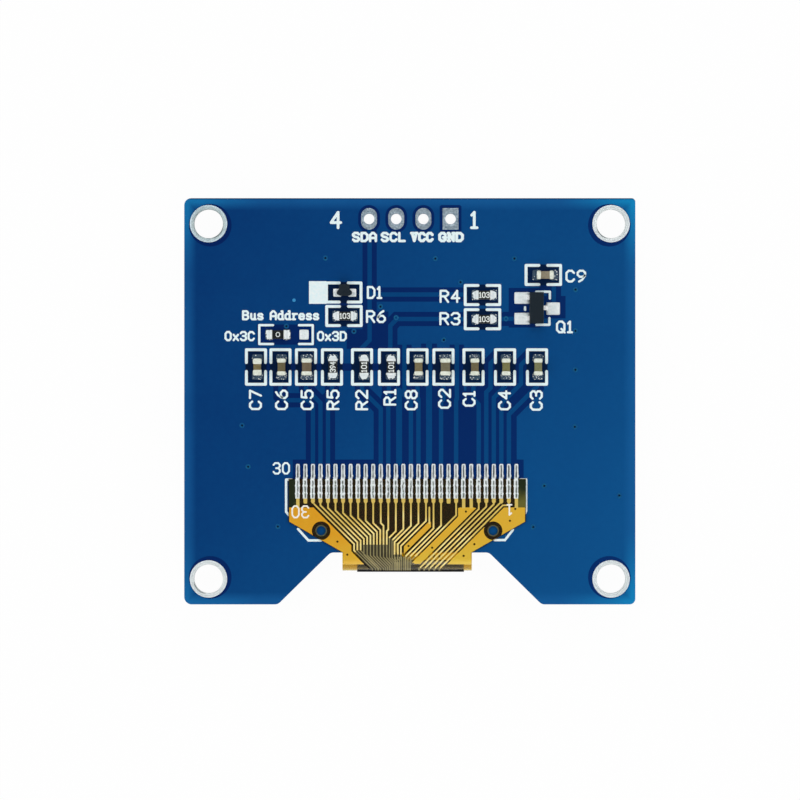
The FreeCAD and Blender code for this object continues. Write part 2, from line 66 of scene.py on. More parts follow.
def shade(red, green, blue):
    """A display colour, 0 to 255, as the linear colour that the nodes work in."""
    levels = []
    for level in (red / 255, green / 255, blue / 255):
        levels.append(level / 12.92 if level <= 0.04045 else ((level + 0.055) / 1.055) ** 2.4)
    return tuple(levels)


# Levels and places read from the construction
BOARD_LOW, BOARD_HIGH = node_box("board")
BOARD_TOP = BOARD_HIGH.z
BOARD_BASE = BOARD_LOW.z
FILM_LOW, FILM_HIGH = node_box("flex_film")
CONTACTS_LOW, CONTACTS_HIGH = node_box("flex_contacts")
LANDS_HIGH = node_box("flex_lands")[1]
FILM_TOP = FILM_HIGH.z
FILM_X = (CONTACTS_LOW.x + CONTACTS_HIGH.x) / 2
LEDGE_TOP = node_box("front_glass")[1].z
FOLD_OUTER = (FILM_TOP - LEDGE_TOP) / 2
FOLD_Z = FILM_TOP - FOLD_OUTER
FOLD_Y = FILM_LOW.y + FOLD_OUTER
LAND_RISE = LANDS_HIGH.z - BOARD_TOP

# Soldered contacts along the flex's end
CONTACT_COUNT = 30
CONTACT_WIDTH = 0.44
CONTACT_PITCH = (CONTACTS_HIGH.x - CONTACTS_LOW.x - CONTACT_WIDTH) / (CONTACT_COUNT - 1)


def contact_x(index):
    """Where a contact stands, counted from the left with the flex's end upward."""
    return FILM_X + CONTACT_PITCH * (index - (CONTACT_COUNT - 1) / 2)


# Finishes: a small language for a material's nodes


class Tie:
    """A value in a node tree. An expression on it adds the Math nodes that work it out."""

    def __init__(self, wiring, socket):
        self.wiring = wiring
        self.socket = socket

    def math(self, operation, *values):
        return self.wiring.node("ShaderNodeMath", {"operation": operation}, dict(enumerate(values)))

    def __add__(self, other):
        return self.math("ADD", self, other)

    def __sub__(self, other):
        return self.math("SUBTRACT", self, other)

    def __rsub__(self, other):
        return self.math("SUBTRACT", other, self)

    def __mul__(self, other):
        return self.math("MULTIPLY", self, other)

    def __truediv__(self, other):
        return self.math("DIVIDE", self, other)

    def __abs__(self):
        return self.math("ABSOLUTE", self)

    def least(self, other):
        return self.math("MINIMUM", self, other)

    def root(self):
        return self.math("SQRT", self)

    def fraction(self):
        return self.math("FRACT", self)

    def rise(self, start, end):
        """0 up to start, 1 from end on, and straight between them; start may be the higher."""
        inputs = {0: self, 1: start, 2: end, 3: 0.0, 4: 1.0}
        return self.wiring.node("ShaderNodeMapRange", {"clamp": True}, inputs)


class Wiring:
    """A node tree built call by call, each adding a node with its settings and inputs."""

    def __init__(self, tree):
        self.tree = tree

    def node(self, kind, settings, inputs, output=0):
        """Adds a node, its settings first and then the values or links of its sockets."""
        made = self.tree.nodes.new(kind)
        for key, value in settings.items():
            setattr(made, key, value)
        for socket, value in inputs.items():
            self.join(made.inputs[socket], value)
        return Tie(self, made.outputs[output])

    def join(self, socket, value):
        """Links a tie to a socket, or gives the socket a number, a colour or a place."""
        if isinstance(value, Tie):
            self.tree.links.new(value.socket, socket)
        elif hasattr(value, "__len__"):
            socket.default_value = (*value, 1.0)[:len(socket.default_value)]
        else:
            socket.default_value = value

    def show(self, kind, surface):
        """Adds the tree's output node and links a surface to it."""
        self.join(self.tree.nodes.new(kind).inputs["Surface"], surface)


class Finish(Wiring):
    """A material for one of the module's surfaces, patterned in millimetres on the piece."""

    def __init__(self, name, **constants):
        self.material = bpy.data.materials.new(name)
        self.material.use_nodes = True
        super().__init__(self.material.node_tree)
        self.shader = self.tree.nodes["Principled BSDF"]
        place = self.node("ShaderNodeTexCoord", {}, {}, "Object")
        scale = {"operation": "SCALE"}
        self.spot = self.node("ShaderNodeVectorMath", scale, {0: place, "Scale": 1 / MM})
        self.split = None
        for key, value in constants.items():
            self.set(key.replace("_", " ").title().replace("Ior", "IOR"), value)

    def set(self, socket, value):
        self.join(self.shader.inputs[socket], value)

    def axis(self, index):
        """X, Y or Z of the place on the piece, as 0, 1 or 2."""
        if self.split is None:
            self.split = self.tree.nodes.new("ShaderNodeSeparateXYZ")
            self.tree.links.new(self.spot.socket, self.split.inputs[0])
        return Tie(self, self.split.outputs[index])

    def stretched(self, x, y, z):
        """The place on the piece with each axis scaled, for grain that runs one way."""
        return self.node("ShaderNodeVectorMath", {"operation": "MULTIPLY"}, {0: self.spot, 1: (x, y, z)})

    def cloud(self, per_mm, detail=2.0, roughness=0.5, place=None):
        """Soft noise between 0 and 1 with so many cells to a millimetre."""
        inputs = {"Vector": place or self.spot, "Scale": per_mm, "Detail": detail, "Roughness": roughness}
        return self.node("ShaderNodeTexNoise", {}, inputs)

    def cells(self, per_mm):
        """Distance to the nearest of many scattered points."""
        return self.node("ShaderNodeTexVoronoi", {}, {"Vector": self.spot, "Scale": per_mm})

    def mix(self, amount, first, second):
        return self.node("ShaderNodeMix", {"data_type": "RGBA"}, {0: amount, 6: first, 7: second}, 2)

    def coat(self, tone, roughness, relief, depth, strength):
        """Sets the colour, the roughness and a bump of a depth in millimetres."""
        self.set("Base Color", tone)
        self.set("Roughness", roughness)
        bump = {"Height": relief, "Distance": depth * MM, "Strength": strength}
        self.set("Normal", self.node("ShaderNodeBump", {}, bump))
        return self

    def dress(self, piece):
        """Puts this finish in every slot of the piece."""
        slots = piece.data.materials
        if not slots:
            slots.append(self.material)
        for index in range(len(slots)):
            slots[index] = self.material


# Half of the square root of two
HALF_ROOT = 0.7071
# Painted dark reflections streaked along the soldered bars: where they begin, the knots that break them,
# where they end
STREAK_TOP = -5.9
STREAK_KNOTS = (-7.88, -8.62)
STREAK_FOOT = -9.1
# Edge of the board's notch, above which the film lies over the board
NOTCH_EDGE_Y = -14.3


def painted_light_and_mottle(finish):
    """How pale the mask is over the board: painted light, paler to the right and towards the front edge, with
    a random mottle.
    """
    across = finish.axis(0).rise(-BOARD_HIGH.x, BOARD_HIGH.x)
    along = finish.axis(1).rise(BOARD_HIGH.y, -BOARD_HIGH.y)
    return across * 0.6 + along * along * 0.32 + finish.cloud(0.06, 3.0).rise(0.3, 0.7) * 0.18


def mask_finish(name, look, deep, pale):
    """Glossy solder mask: painted light makes it paler to the right and towards the front edge, its tone also
    drifts at random, and the surface has a faint ripple.
    """
    finish = Finish(name, ior=1.5, specular_ior_level=look.mask_gloss)
    grain = finish.cloud(2.2, 3.0)
    tone = finish.mix(painted_light_and_mottle(finish) + (grain - 0.5) * 0.2, deep, pale)
    return finish.coat(tone, finish.cloud(0.8, 3.0) * 0.12 + 0.16, finish.cloud(1.6, 4.0), 0.004, 0.6)


def board_finish(look):
    """Solder mask on both faces, light blue at the rim, and layered laminate round the edge. Painted light
    makes the mask paler to the right and the front, and paler at the rim's corners, most to the right and the
    back.
    """
    finish = Finish("board_mask", ior=1.5, specular_ior_level=look.mask_gloss)
    x, y, z = (finish.axis(index) for index in range(3))
    middle = (BOARD_TOP + BOARD_BASE) / 2
    half = (BOARD_TOP - BOARD_BASE) / 2
    faces = abs(z - middle).rise(half - 0.03, half - 0.015)
    aside = BOARD_HIGH.x - abs(x)
    ahead = BOARD_HIGH.y - abs(y)
    rim = aside.least(ahead)
    speck = finish.cloud(2.4, 4.0)
    field = finish.mix(painted_light_and_mottle(finish) + (speck - 0.5) * 0.2, look.mask_deep, look.lit_mask)
    band = rim.rise(look.pour_inset, look.pour_inset * 0.3)
    drift = finish.cloud(0.22, 2.0).rise(0.1, 0.6) * 0.3 + 0.7
    # Painted light: the rim is paler near the corners, most to the right and towards the back.
    corner = (aside * aside + ahead * ahead).root().rise(look.corner_reach, 0.6)
    side = x.rise(-BOARD_HIGH.x, BOARD_HIGH.x) * 0.55 + y.rise(-BOARD_HIGH.y, BOARD_HIGH.y) * 0.25 + 0.2
    glow = finish.mix(corner * side, look.mask_rim, look.lit_mask_corner)
    field = finish.mix(band * drift * (corner * 0.3 + 0.6), field, glow)
    lip = rim.rise(0.16, 0.04) * y.rise(BOARD_HIGH.y - 0.3, BOARD_HIGH.y - 0.1)
    field = finish.mix(lip * 0.8, field, look.mask_lip)
    weave = finish.cloud(3.0, 3.0, place=finish.stretched(1.0, 1.0, 9.0))
    laminate = finish.mix(weave.rise(0.35, 0.65), look.laminate_dark, look.laminate_pale)
    roughness = faces * -0.35 + 0.6 + finish.cloud(0.8, 3.0) * 0.1 - 0.07
    ripple = finish.cloud(1.5, 4.0) * faces + weave * (1.0 - faces) * 3.0
    return finish.coat(finish.mix(faces, laminate, field), roughness, ripple, 0.005, 0.6)


def print_finish(look):
    """Board print: matt white ink, a little thin in places."""
    finish = Finish("white_print")
    worn = finish.cloud(3.5, 4.0, 0.6)
    tone = finish.mix(worn.rise(0.35, 0.7), look.print_shadow, look.print_white)
    return finish.coat(tone, 0.55, finish.cloud(9.0, 3.0), 0.004, 0.7)


def solder_finish(name, dull, tone, roughness, lumps, metallic):
    """Tinned metal: bright, faintly streaked, and never quite smooth."""
    finish = Finish(name, metallic=metallic)
    streak = finish.cloud(5.0, 5.0, 0.65)
    pits = finish.cells(7.0).rise(0.0, 0.28)
    relief = finish.cloud(4.0, 5.0, 0.7) + pits * 0.25
    gloss = finish.cloud(3.0, 4.0).rise(0.25, 0.75) * 0.22 + (roughness - 0.1)
    return finish.coat(finish.mix(streak.rise(0.3, 0.7), dull, tone), gloss, relief, lumps, 0.8)


def ring_finish(look):
    """Tin round a mounting hole: a rim made brighter by a painted highlight, a duller inner band, painted
    shade at the hole's mouth, dark arcs at the hole's edge on its side towards the front, and painted light
    that brightens the rings to the right and the front.
    """
    finish = Finish("ring_tin", metallic=0.3)
    x, y = finish.axis(0), finish.axis(1)
    aside = abs(x) - (MOUNT_HIGH.x - MOUNT_PAD)
    ahead = abs(y) - (MOUNT_HIGH.y - MOUNT_PAD)
    radius = (aside * aside + ahead * ahead).root()
    streak = finish.cloud(2.6, 4.0, 0.65)
    band = finish.mix(streak.rise(0.3, 0.7), look.ring_shadow, look.ring_band)
    rim = finish.mix(streak.rise(0.25, 0.6), look.ring_shadow, look.highlit_ring_rim)
    # The brighter rim is a painted highlight on the tin.
    tone = finish.mix(radius.rise(MOUNT_PAD - 0.22, MOUNT_PAD - 0.12), band, rim)
    # Painted shade darkens the tin at the hole's mouth.
    tone = finish.mix(radius.rise(MOUNT_HOLE + 0.13, MOUNT_HOLE + 0.02) * 0.45, tone, look.hole_shade_and_arcs)
    # Painted light: the rings to the right and to the front are brighter.
    lit = (x.rise(-1.0, 1.0) + y.rise(1.0, -1.0)).least(1.0)
    tone = finish.mix(lit * 0.5 + 0.15, tone, look.tin_bright)
    outward = (aside + ahead) / radius * HALF_ROOT
    inward = outward * -1.0
    rear = y.rise(-1.0, 1.0)
    # Dark arcs at the hole's edge, on the side towards the front.
    dark_arcs = inward.rise(0.84, 0.96) * rear + outward.rise(0.8, 0.93) * (1.0 - rear) * x.rise(1.0, -1.0)
    edge = abs(radius - (MOUNT_HOLE + 0.06)).rise(0.07, 0.02)
    tone = finish.mix(dark_arcs * edge * 0.75, tone, look.hole_shade_and_arcs)
    roughness = finish.cloud(3.0, 4.0).rise(0.25, 0.75) * 0.2 + 0.34
    return finish.coat(tone, roughness, streak, 0.02, 0.8)


def shaded_solder_finish(look):
    """Solder that falls away steeply, painted dark as its shade and dark reflection, with painted glints in
    bright specks.
    """
    finish = Finish("capacitor_solder", metallic=0.2)
    # Painted glints: bright specks over the painted shade.
    speck = finish.cells(5.2).rise(0.36, 0.2)
    ripple = finish.cloud(6.0, 4.0, 0.65)
    body = finish.mix(ripple, look.shade_deep, look.shade_pale)
    tone = finish.mix(speck, body, look.tin_bright)
    return finish.coat(tone, ripple * 0.2 + 0.25, ripple + speck, 0.03, 0.9)


def bar_finish(look):
    """Solder on the flex's contacts: bright flanks with a painted dark reflection streaked along each bar."""
    finish = Finish("bar_solder", metallic=0.05)
    x, y = finish.axis(0), finish.axis(1)
    offset = ((x - FILM_X) / CONTACT_PITCH).fraction() - 0.5
    wander = finish.cloud(1.8, 3.0) - 0.5
    streak = abs(offset * CONTACT_PITCH + wander * 0.08 + look.streak_shift)
    share = finish.cloud(1.1, 2.0).rise(0.3, 0.6)
    upper = streak.rise(0.1, 0.05) * y.rise(FILM_END - 0.02, FILM_END + 0.2)
    upper = upper * y.rise(STREAK_TOP, STREAK_TOP - 0.14) * (share * 0.5 + 0.5)
    drift = (finish.cloud(0.8, 2.0) - 0.5) * 1.1
    first_knot = abs(y + drift - STREAK_KNOTS[0])
    second_knot = abs(y + drift * 0.7 + wander * 0.4 - STREAK_KNOTS[1])
    knots = first_knot.rise(0.03, 0.15) * second_knot.rise(0.03, 0.15)
    line = abs(offset * CONTACT_PITCH + wander * 0.34 + look.streak_shift)
    thread = line.rise(0.06, 0.025) * finish.cloud(3.1, 2.0).rise(0.36, 0.46) * 0.85
    within = y.rise(FILM_END - 0.1, FILM_END - 0.25) * y.rise(STREAK_FOOT, STREAK_FOOT + 0.15)
    lower = (streak.rise(0.125, 0.065) * knots * (share * -0.45 + 0.85) + thread) * within
    grain = finish.cloud(6.0, 4.0, 0.6)
    body = finish.mix(grain.rise(0.3, 0.65), look.bar_shadow, look.bar_light)
    # Painted reflection: a dark streak along each bar on the board, and a grey one with thin threads on the
    # film.
    body = finish.mix(upper * 0.94, body, look.reflection_streak_upper)
    tone = finish.mix(lower * 0.85, body, look.reflection_streak_lower)
    return finish.coat(tone, grain * 0.25 + 0.2, grain, 0.012, 0.7)


def ceramic_finish(name, pale, deep, glaze):
    """Fired ceramic: a fine mottle with darker grains."""
    finish = Finish(name)
    mottle = finish.cloud(6.0, 5.0, 0.7)
    grains = finish.cells(16.0).rise(0.05, 0.35)
    body = finish.mix(mottle.rise(0.3, 0.7), deep, pale)
    tone = finish.mix(grains * 0.35 + 0.65, deep, body)
    return finish.coat(tone, finish.cloud(9.0, 3.0) * 0.2 + (glaze - 0.1), mottle, 0.006, 0.7)


def moulding_finish(name, dark, pale, roughness):
    """Filled epoxy or glaze: near black, with a fine grain and small pale specks."""
    finish = Finish(name, specular_ior_level=0.2)
    grain = finish.cloud(14.0, 5.0, 0.7)
    specks = finish.cells(11.0).rise(0.16, 0.06)
    body = finish.mix(grain.rise(0.3, 0.75), dark, pale)
    tone = finish.mix(specks * 0.12, body, shade(90, 96, 100))
    return finish.coat(tone, finish.cloud(7.0, 3.0) * 0.25 + (roughness - 0.12), grain, 0.01, 0.7)


def film_finish(look):
    """Amber film: brown over the board, and clear amber where light comes through it."""
    finish = Finish("amber_film", ior=1.5, transmission_weight=0.985, specular_ior_level=0.3)
    cloudy = finish.cloud(0.5, 4.0).rise(0.3, 0.7)
    clear = finish.mix(cloudy, look.film_deep, look.film_pale)
    over_board = finish.axis(1).rise(NOTCH_EDGE_Y, NOTCH_EDGE_Y + 0.3)
    tone = finish.mix(over_board, clear, look.film_brown)
    return finish.coat(tone, finish.cloud(1.4, 3.0) * 0.08 + 0.04, finish.cloud(0.9, 3.0), 0.006, 0.5)


def film_copper_finish(name, pale, deep, roughness):
    """Copper under the film's cover: golden and satin, with a painted highlight that makes it brighter where
    its bump is raised.
    """
    finish = Finish(name, metallic=0.1)
    brushed = finish.cloud(1.3, 4.0, 0.6)
    fine = finish.cloud(7.0, 3.0)
    # Painted highlight: the tone follows the same noise as the bump, brighter where it is raised.
    tone = finish.mix(brushed.rise(0.3, 0.72) * 0.7 + fine * 0.3, deep, pale)
    return finish.coat(tone, fine * 0.2 + (roughness - 0.1), brushed, 0.008, 0.5)


def field_finish(look):
    """The flex's wide copper: orange gold at the left, paler to the right and towards the fold."""
    finish = Finish("field_copper", metallic=0.1)
    brushed = finish.cloud(1.3, 4.0, 0.6)
    shift = finish.axis(0).rise(-8.0, 4.0) * 0.45 + finish.axis(1).rise(-12.5, -15.0) * 0.4
    tone = finish.mix(brushed * 0.4 + shift - 0.1, look.pour_deep, look.pour_gold)
    return finish.coat(tone, finish.cloud(7.0, 3.0) * 0.2 + 0.32, brushed, 0.008, 0.5)


def margin_finish(look):
    """Cloudy film at its two ends: darker at the left."""
    finish = Finish("film_margin", specular_ior_level=0.2)
    cloudy = finish.cloud(1.6, 3.0)
    side = finish.axis(0).rise(-11.0, 10.0) + (cloudy - 0.5) * 0.8
    side = side + finish.axis(1).rise(-9.5, -8.2) * -1.0
    tone = finish.mix(side, look.margin_deep, look.margin_olive)
    return finish.coat(tone, cloudy * 0.2 + 0.3, cloudy, 0.006, 0.5)


def trace_finish(look):
    """Fine copper: duller just below the contacts, cream where the traces lean."""
    finish = Finish("trace_copper", metallic=0.1)
    fine = finish.cloud(7.0, 3.0)
    cream = finish.mix(finish.cloud(1.3, 4.0, 0.6).rise(0.3, 0.7), look.trace_deep, look.trace_cream)
    drop = finish.axis(1) + abs(finish.axis(0) + 0.6) * 0.35
    tone = finish.mix(drop.rise(-9.6, -10.6), look.trace_upper, cream)
    return finish.coat(tone, fine * 0.2 + 0.32, fine, 0.006, 0.5)


def plain_finish(name, pale, deep, roughness, per_mm=1.0, relief=0.003, **constants):
    """A quiet surface whose tone drifts between two close colours."""
    finish = Finish(name, **constants)
    tone = finish.mix(finish.cloud(per_mm, 4.0).rise(0.3, 0.7), deep, pale)
    gloss = finish.cloud(per_mm * 2, 3.0) * 0.14 + max(roughness - 0.07, 0.0)
    return finish.coat(tone, gloss, finish.cloud(per_mm * 4, 3.0), relief, 0.6)


# Surfaces that thin work lies on, as the point at a height over a place


def over(level):
    """A flat surface at a level of its own."""
    return lambda x, y, height: Vector((x, y, level + height))


on_board = over(BOARD_TOP)


def on_film(x, along, height):
    """A point over the flex, whose length runs flat, round the fold and back under the board."""
    turn = (FOLD_Y - along) / FOLD_OUTER
    if turn <= 0:
        return Vector((x, along, FILM_TOP + height))
    reach = FOLD_OUTER + height
    if turn >= math.pi:
        return Vector((x, FOLD_Y + (turn - math.pi) * FOLD_OUTER, FOLD_Z - reach))
    return Vector((x, FOLD_Y - reach * math.sin(turn), FOLD_Z + reach * math.cos(turn)))


def along_film(y):
    """How far along the flex the camera's view of a place near the fold lies."""
    if y >= FOLD_Y:
        return y
    return FOLD_Y - FOLD_OUTER * math.asin(min((FOLD_Y - y) / FOLD_OUTER, 1.0))


class Layer:
    """Thin raised work on a surface: strips, rings, plates and mounds in one closed mesh."""

    sharp_turn = math.cos(math.radians(70))
    cap_angles = (80, 55, 28)
    lift_step = 0.0002

    def __init__(self, surface):
        self.mesh = bmesh.new()
        self.surface = surface
        self.lift = 0.0

    def vertex(self, x, y, height):
        return self.mesh.verts.new(self.surface(x, y, height))

    def skin(self, stations, closed):
        """Joins stations of four corners, (left low, left high, right high, right low)."""
        rows = list(zip(stations, stations[1:]))
        if closed:
            rows.append((stations[-1], stations[0]))
        for here, there in rows:
            for corner in range(4):
                after = (corner + 1) % 4
                self.mesh.faces.new((here[corner], here[after], there[after], there[corner]))
        if not closed:
            self.mesh.faces.new(tuple(reversed(stations[0])))
            self.mesh.faces.new(stations[-1])

    def strip(self, points, width, low, high, rounded=True):
        """A strip of one width along a path, with mitred turns and round or square ends."""
        closed = points[0] == points[-1]
        path = [Vector(point) for point in (points[:-1] if closed else points)]
        count = len(path)
        half = width / 2
        ways = []
        for index in range(count if closed else count - 1):
            ways.append((path[(index + 1) % count] - path[index]).normalized())
        sections = []
        for index, point in enumerate(path):
            before = ways[index - 1] if closed or index else ways[0]
            after = ways[index] if closed or index < count - 1 else ways[-1]
            across = (Vector((-before.y, before.x)) + Vector((-after.y, after.x))).normalized()
            stretch = 1 / max(across.dot(Vector((-after.y, after.x))), 0.4)
            sections.append((point, across * half * stretch))
        if rounded and not closed:
            sections = self.cap(sections, -ways[0], half) + sections
            sections += list(reversed(self.cap(sections[-1:], ways[-1], half)))
        self.lift += self.lift_step
        stations = []
        for point, across in sections:
            left, right = point + across, point - across
            corners = ((left, low), (left, high + self.lift), (right, high + self.lift), (right, low))
            stations.append([self.vertex(spot.x, spot.y, height) for spot, height in corners])
        self.skin(stations, closed)

    def cap(self, sections, way, half):
        """Narrowing sections that round an end off, from its tip inwards."""
        point, across = sections[0]
        rounding = []
        for angle in self.cap_angles:
            turn = math.radians(angle)
            rounding.append((point + way * half * math.sin(turn), across * math.cos(turn)))
        return rounding

    def stroke(self, points, width, low, high):
        """A pen stroke: round ends, and a fresh start at each sharp corner."""
        if points[0] == points[-1]:
            self.strip(points, width, low, high)
            return
        run = [points[0]]
        for before, here, after in zip(points, points[1:], points[2:]):
            run.append(here)
            first = (Vector(here) - Vector(before)).normalized()
            second = (Vector(after) - Vector(here)).normalized()
            if first.dot(second) < self.sharp_turn:
                self.strip(run, width, low, high)
                run = [here]
        run.append(points[-1])
        self.strip(run, width, low, high)

    def plate(self, outline, low, high):
        """A flat plate with the given outline, counted anticlockwise."""
        self.lift += self.lift_step
        upper = [self.vertex(x, y, high + self.lift) for x, y in outline]
        lower = [self.vertex(x, y, low) for x, y in outline]
        self.mesh.faces.new(upper)
        self.mesh.faces.new(tuple(reversed(lower)))
        for index in range(len(outline)):
            after = (index + 1) % len(outline)
            self.mesh.faces.new((lower[index], lower[after], upper[after], upper[index]))

    def ring(self, x, y, inner, outer, low, high, count=24):
        """A flat ring with a softened crown."""
        self.lift += self.lift_step
        soft = (outer - inner) * 0.2
        crown = high + self.lift
        section = (
            (outer, low), (outer, crown * 0.6), (outer - soft, crown),
            (inner + soft, crown), (inner, crown * 0.6), (inner, low),
        )
        loops = []
        for index in range(count):
            turn = math.tau * index / count
            side, front = math.cos(turn), math.sin(turn)
            loops.append([self.vertex(x + r * side, y + r * front, height) for r, height in section])
        for index in range(count):
            here, there = loops[index], loops[(index + 1) % count]
            for corner in range(len(section)):
                after = (corner + 1) % len(section)
                self.mesh.faces.new((here[corner], there[corner], there[after], here[after]))

    def disc(self, x, y, radius, low, high, count=16):
        turns = [math.tau * index / count for index in range(count)]
        self.plate([(x + radius * math.cos(a), y + radius * math.sin(a)) for a in turns], low, high)

    def mound(self, low, high, base, height, columns, rows, corner, taper=(0.0, 0.0)):
        """A lump over a rectangle; height tells how high it stands at (u, v), each -1 to 1.

        taper narrows it towards one end of u or of v, by that share of its width.
        """
        middle = ((low[0] + high[0]) / 2, (low[1] + high[1]) / 2)
        half = ((high[0] - low[0]) / 2, (high[1] - low[1]) / 2)
        grid = []
        for row in range(rows + 1):
            line = []
            for column in range(columns + 1):
                u = math.sin(math.pi / 2 * (2 * column / columns - 1))
                v = math.sin(math.pi / 2 * (2 * row / rows - 1))
                slim_x = 1 - abs(taper[1]) * (1 + math.copysign(v, v * taper[1])) / 2
                slim_y = 1 - abs(taper[0]) * (1 + math.copysign(u, u * taper[0])) / 2
                x = middle[0] + half[0] * u * math.sqrt(1 - corner * v ** 4) * slim_x
                y = middle[1] + half[1] * v * math.sqrt(1 - corner * u ** 4) * slim_y
                edge = abs(u) == 1 or abs(v) == 1
                line.append(self.vertex(x, y, base if edge else base + height(u, v)))
            grid.append(line)
        self.close(grid)

    def bead(self, rows, base, columns=10):
        """A bar told row by row as (y, left, right, crown, furrow), a furrow running along it."""
        grid = []
        for y, left, right, crown, furrow in rows:
            line = []
            for column in range(columns + 1):
                u = math.sin(math.pi / 2 * (2 * column / columns - 1))
                x = (left + right) / 2 + (right - left) / 2 * u
                hollow = 1 - furrow * max(1 - abs(u) / 0.5, 0.0)
                line.append(self.vertex(x, y, base + crown * math.sqrt(1 - u ** 6) * hollow))
            grid.append(line)
        self.close(grid)

    def close(self, grid):
        """Faces over a grid of vertices, and one face under it."""
        for here, there in zip(grid, grid[1:]):
            for column in range(len(here) - 1):
                corners = (here[column], here[column + 1], there[column + 1], there[column])
                self.mesh.faces.new(corners)
        rim = grid[0] + [line[-1] for line in grid[1:]] + grid[-1][-2::-1]
        rim += [line[0] for line in grid[-2:0:-1]]
        self.mesh.faces.new(tuple(reversed(rim)))

    def apron(self, rows, low, high):
        """A thin sheet told row by row as (along, left, right)."""
        stations = []
        for along, left, right in rows:
            corners = ((left, low), (left, high), (right, high), (right, low))
            stations.append([self.vertex(x, along, height) for x, height in corners])
        self.skin(stations, False)

    def eyelet(self, x, y, hole, outline, levels, count=48):
        """A plated hole: levels give (share of the way from hole to outline, height)."""
        loops = []
        for share, height in levels:
            loop = []
            for index in range(count):
                turn = math.tau * (index + 0.5) / count
                side, front = math.cos(turn), math.sin(turn)
                reach = outline(side, front)
                radius = hole + (reach - hole) * share
                loop.append(self.vertex(x + radius * side, y + radius * front, height))
            loops.append(loop)
        for here, there in zip(loops, loops[1:] + loops[:1]):
            for index in range(count):
                after = (index + 1) % count
                self.mesh.faces.new((here[index], here[after], there[after], there[index]))

    def piece(self, name):
        """The finished mesh as an object."""
        bmesh.ops.recalc_face_normals(self.mesh, faces=self.mesh.faces)
        data = bpy.data.meshes.new(name)
        self.mesh.to_mesh(data)
        self.mesh.free()
        made = bpy.data.objects.new(name, data)
        bpy.context.scene.collection.objects.link(made)
        return made

    def settle(self, name, slot, finish, *replaced, smooth=40.0):
        """Makes the piece of this work and settles it on the module."""
        settle(self.piece(name), name, slot, finish, *replaced, smooth=smooth)


# Modelling and settling of pieces


# Size of the waves in the skin of tinned ends
GRAIN_SIZE = 0.35


def lone(piece):
    """Selects one piece alone and makes it the active one."""
    bpy.ops.object.select_all(action="DESELECT")
    piece.select_set(True)
    bpy.context.view_layer.objects.active = piece


def bevelled(piece, rounding, segments):
    """Rounds a piece's edges."""
    lone(piece)
    bpy.ops.object.mode_set(mode="EDIT")
    bpy.ops.mesh.select_all(action="SELECT")
    bpy.ops.mesh.bevel(offset=rounding, segments=segments, profile=0.5, affect="EDGES")
    bpy.ops.object.mode_set(mode="OBJECT")
    return piece


def block(low, high, rounding, segments):
    """A block between two corners with its edges rounded, in millimetres."""
    bpy.ops.object.select_all(action="DESELECT")
    size = Vector(high) - Vector(low)
    bpy.ops.mesh.primitive_cube_add(size=1.0, location=(Vector(low) + Vector(high)) / 2, scale=size)
    made = bpy.context.active_object
    bpy.ops.object.transform_apply(location=True, rotation=True, scale=True)
    return bevelled(made, rounding, segments)


def joined(pieces):
    """Several pieces as one."""
    bpy.ops.object.select_all(action="DESELECT")
    for piece in pieces:
        piece.select_set(True)
    bpy.context.view_layer.objects.active = pieces[0]
    if len(pieces) > 1:
        bpy.ops.object.join()
    return bpy.context.view_layer.objects.active


def roughened(piece, depth):
    """Subdivides a piece once and pushes its surface in and out a little."""
    lone(piece)
    bpy.ops.object.modifier_add(type="SUBSURF")
    finer = piece.modifiers[-1]
    finer.levels = finer.render_levels = 1
    bpy.ops.object.modifier_apply(modifier=finer.name)
    for corner in piece.data.vertices:
        push = noise.noise(corner.co / GRAIN_SIZE) + 0.5 * noise.noise(corner.co * 2 / GRAIN_SIZE)
        corner.co += corner.normal * push * depth
    return piece


def settle(piece, name, slot, finish, *replaced, smooth=40.0):
    """Brings a piece into the frame, dresses it and seats it on the module's body."""
    piece.name = piece.data.name = name
    piece.data.transform(Matrix.Scale(MM, 4))
    lone(piece)
    if smooth:
        bpy.ops.object.shade_smooth_by_angle(angle=math.radians(smooth))
    finish.dress(piece)
    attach(piece, ROOT)
    if replaced:
        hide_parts(*replaced)


# Plain stroke lettering on a grid four wide and six high

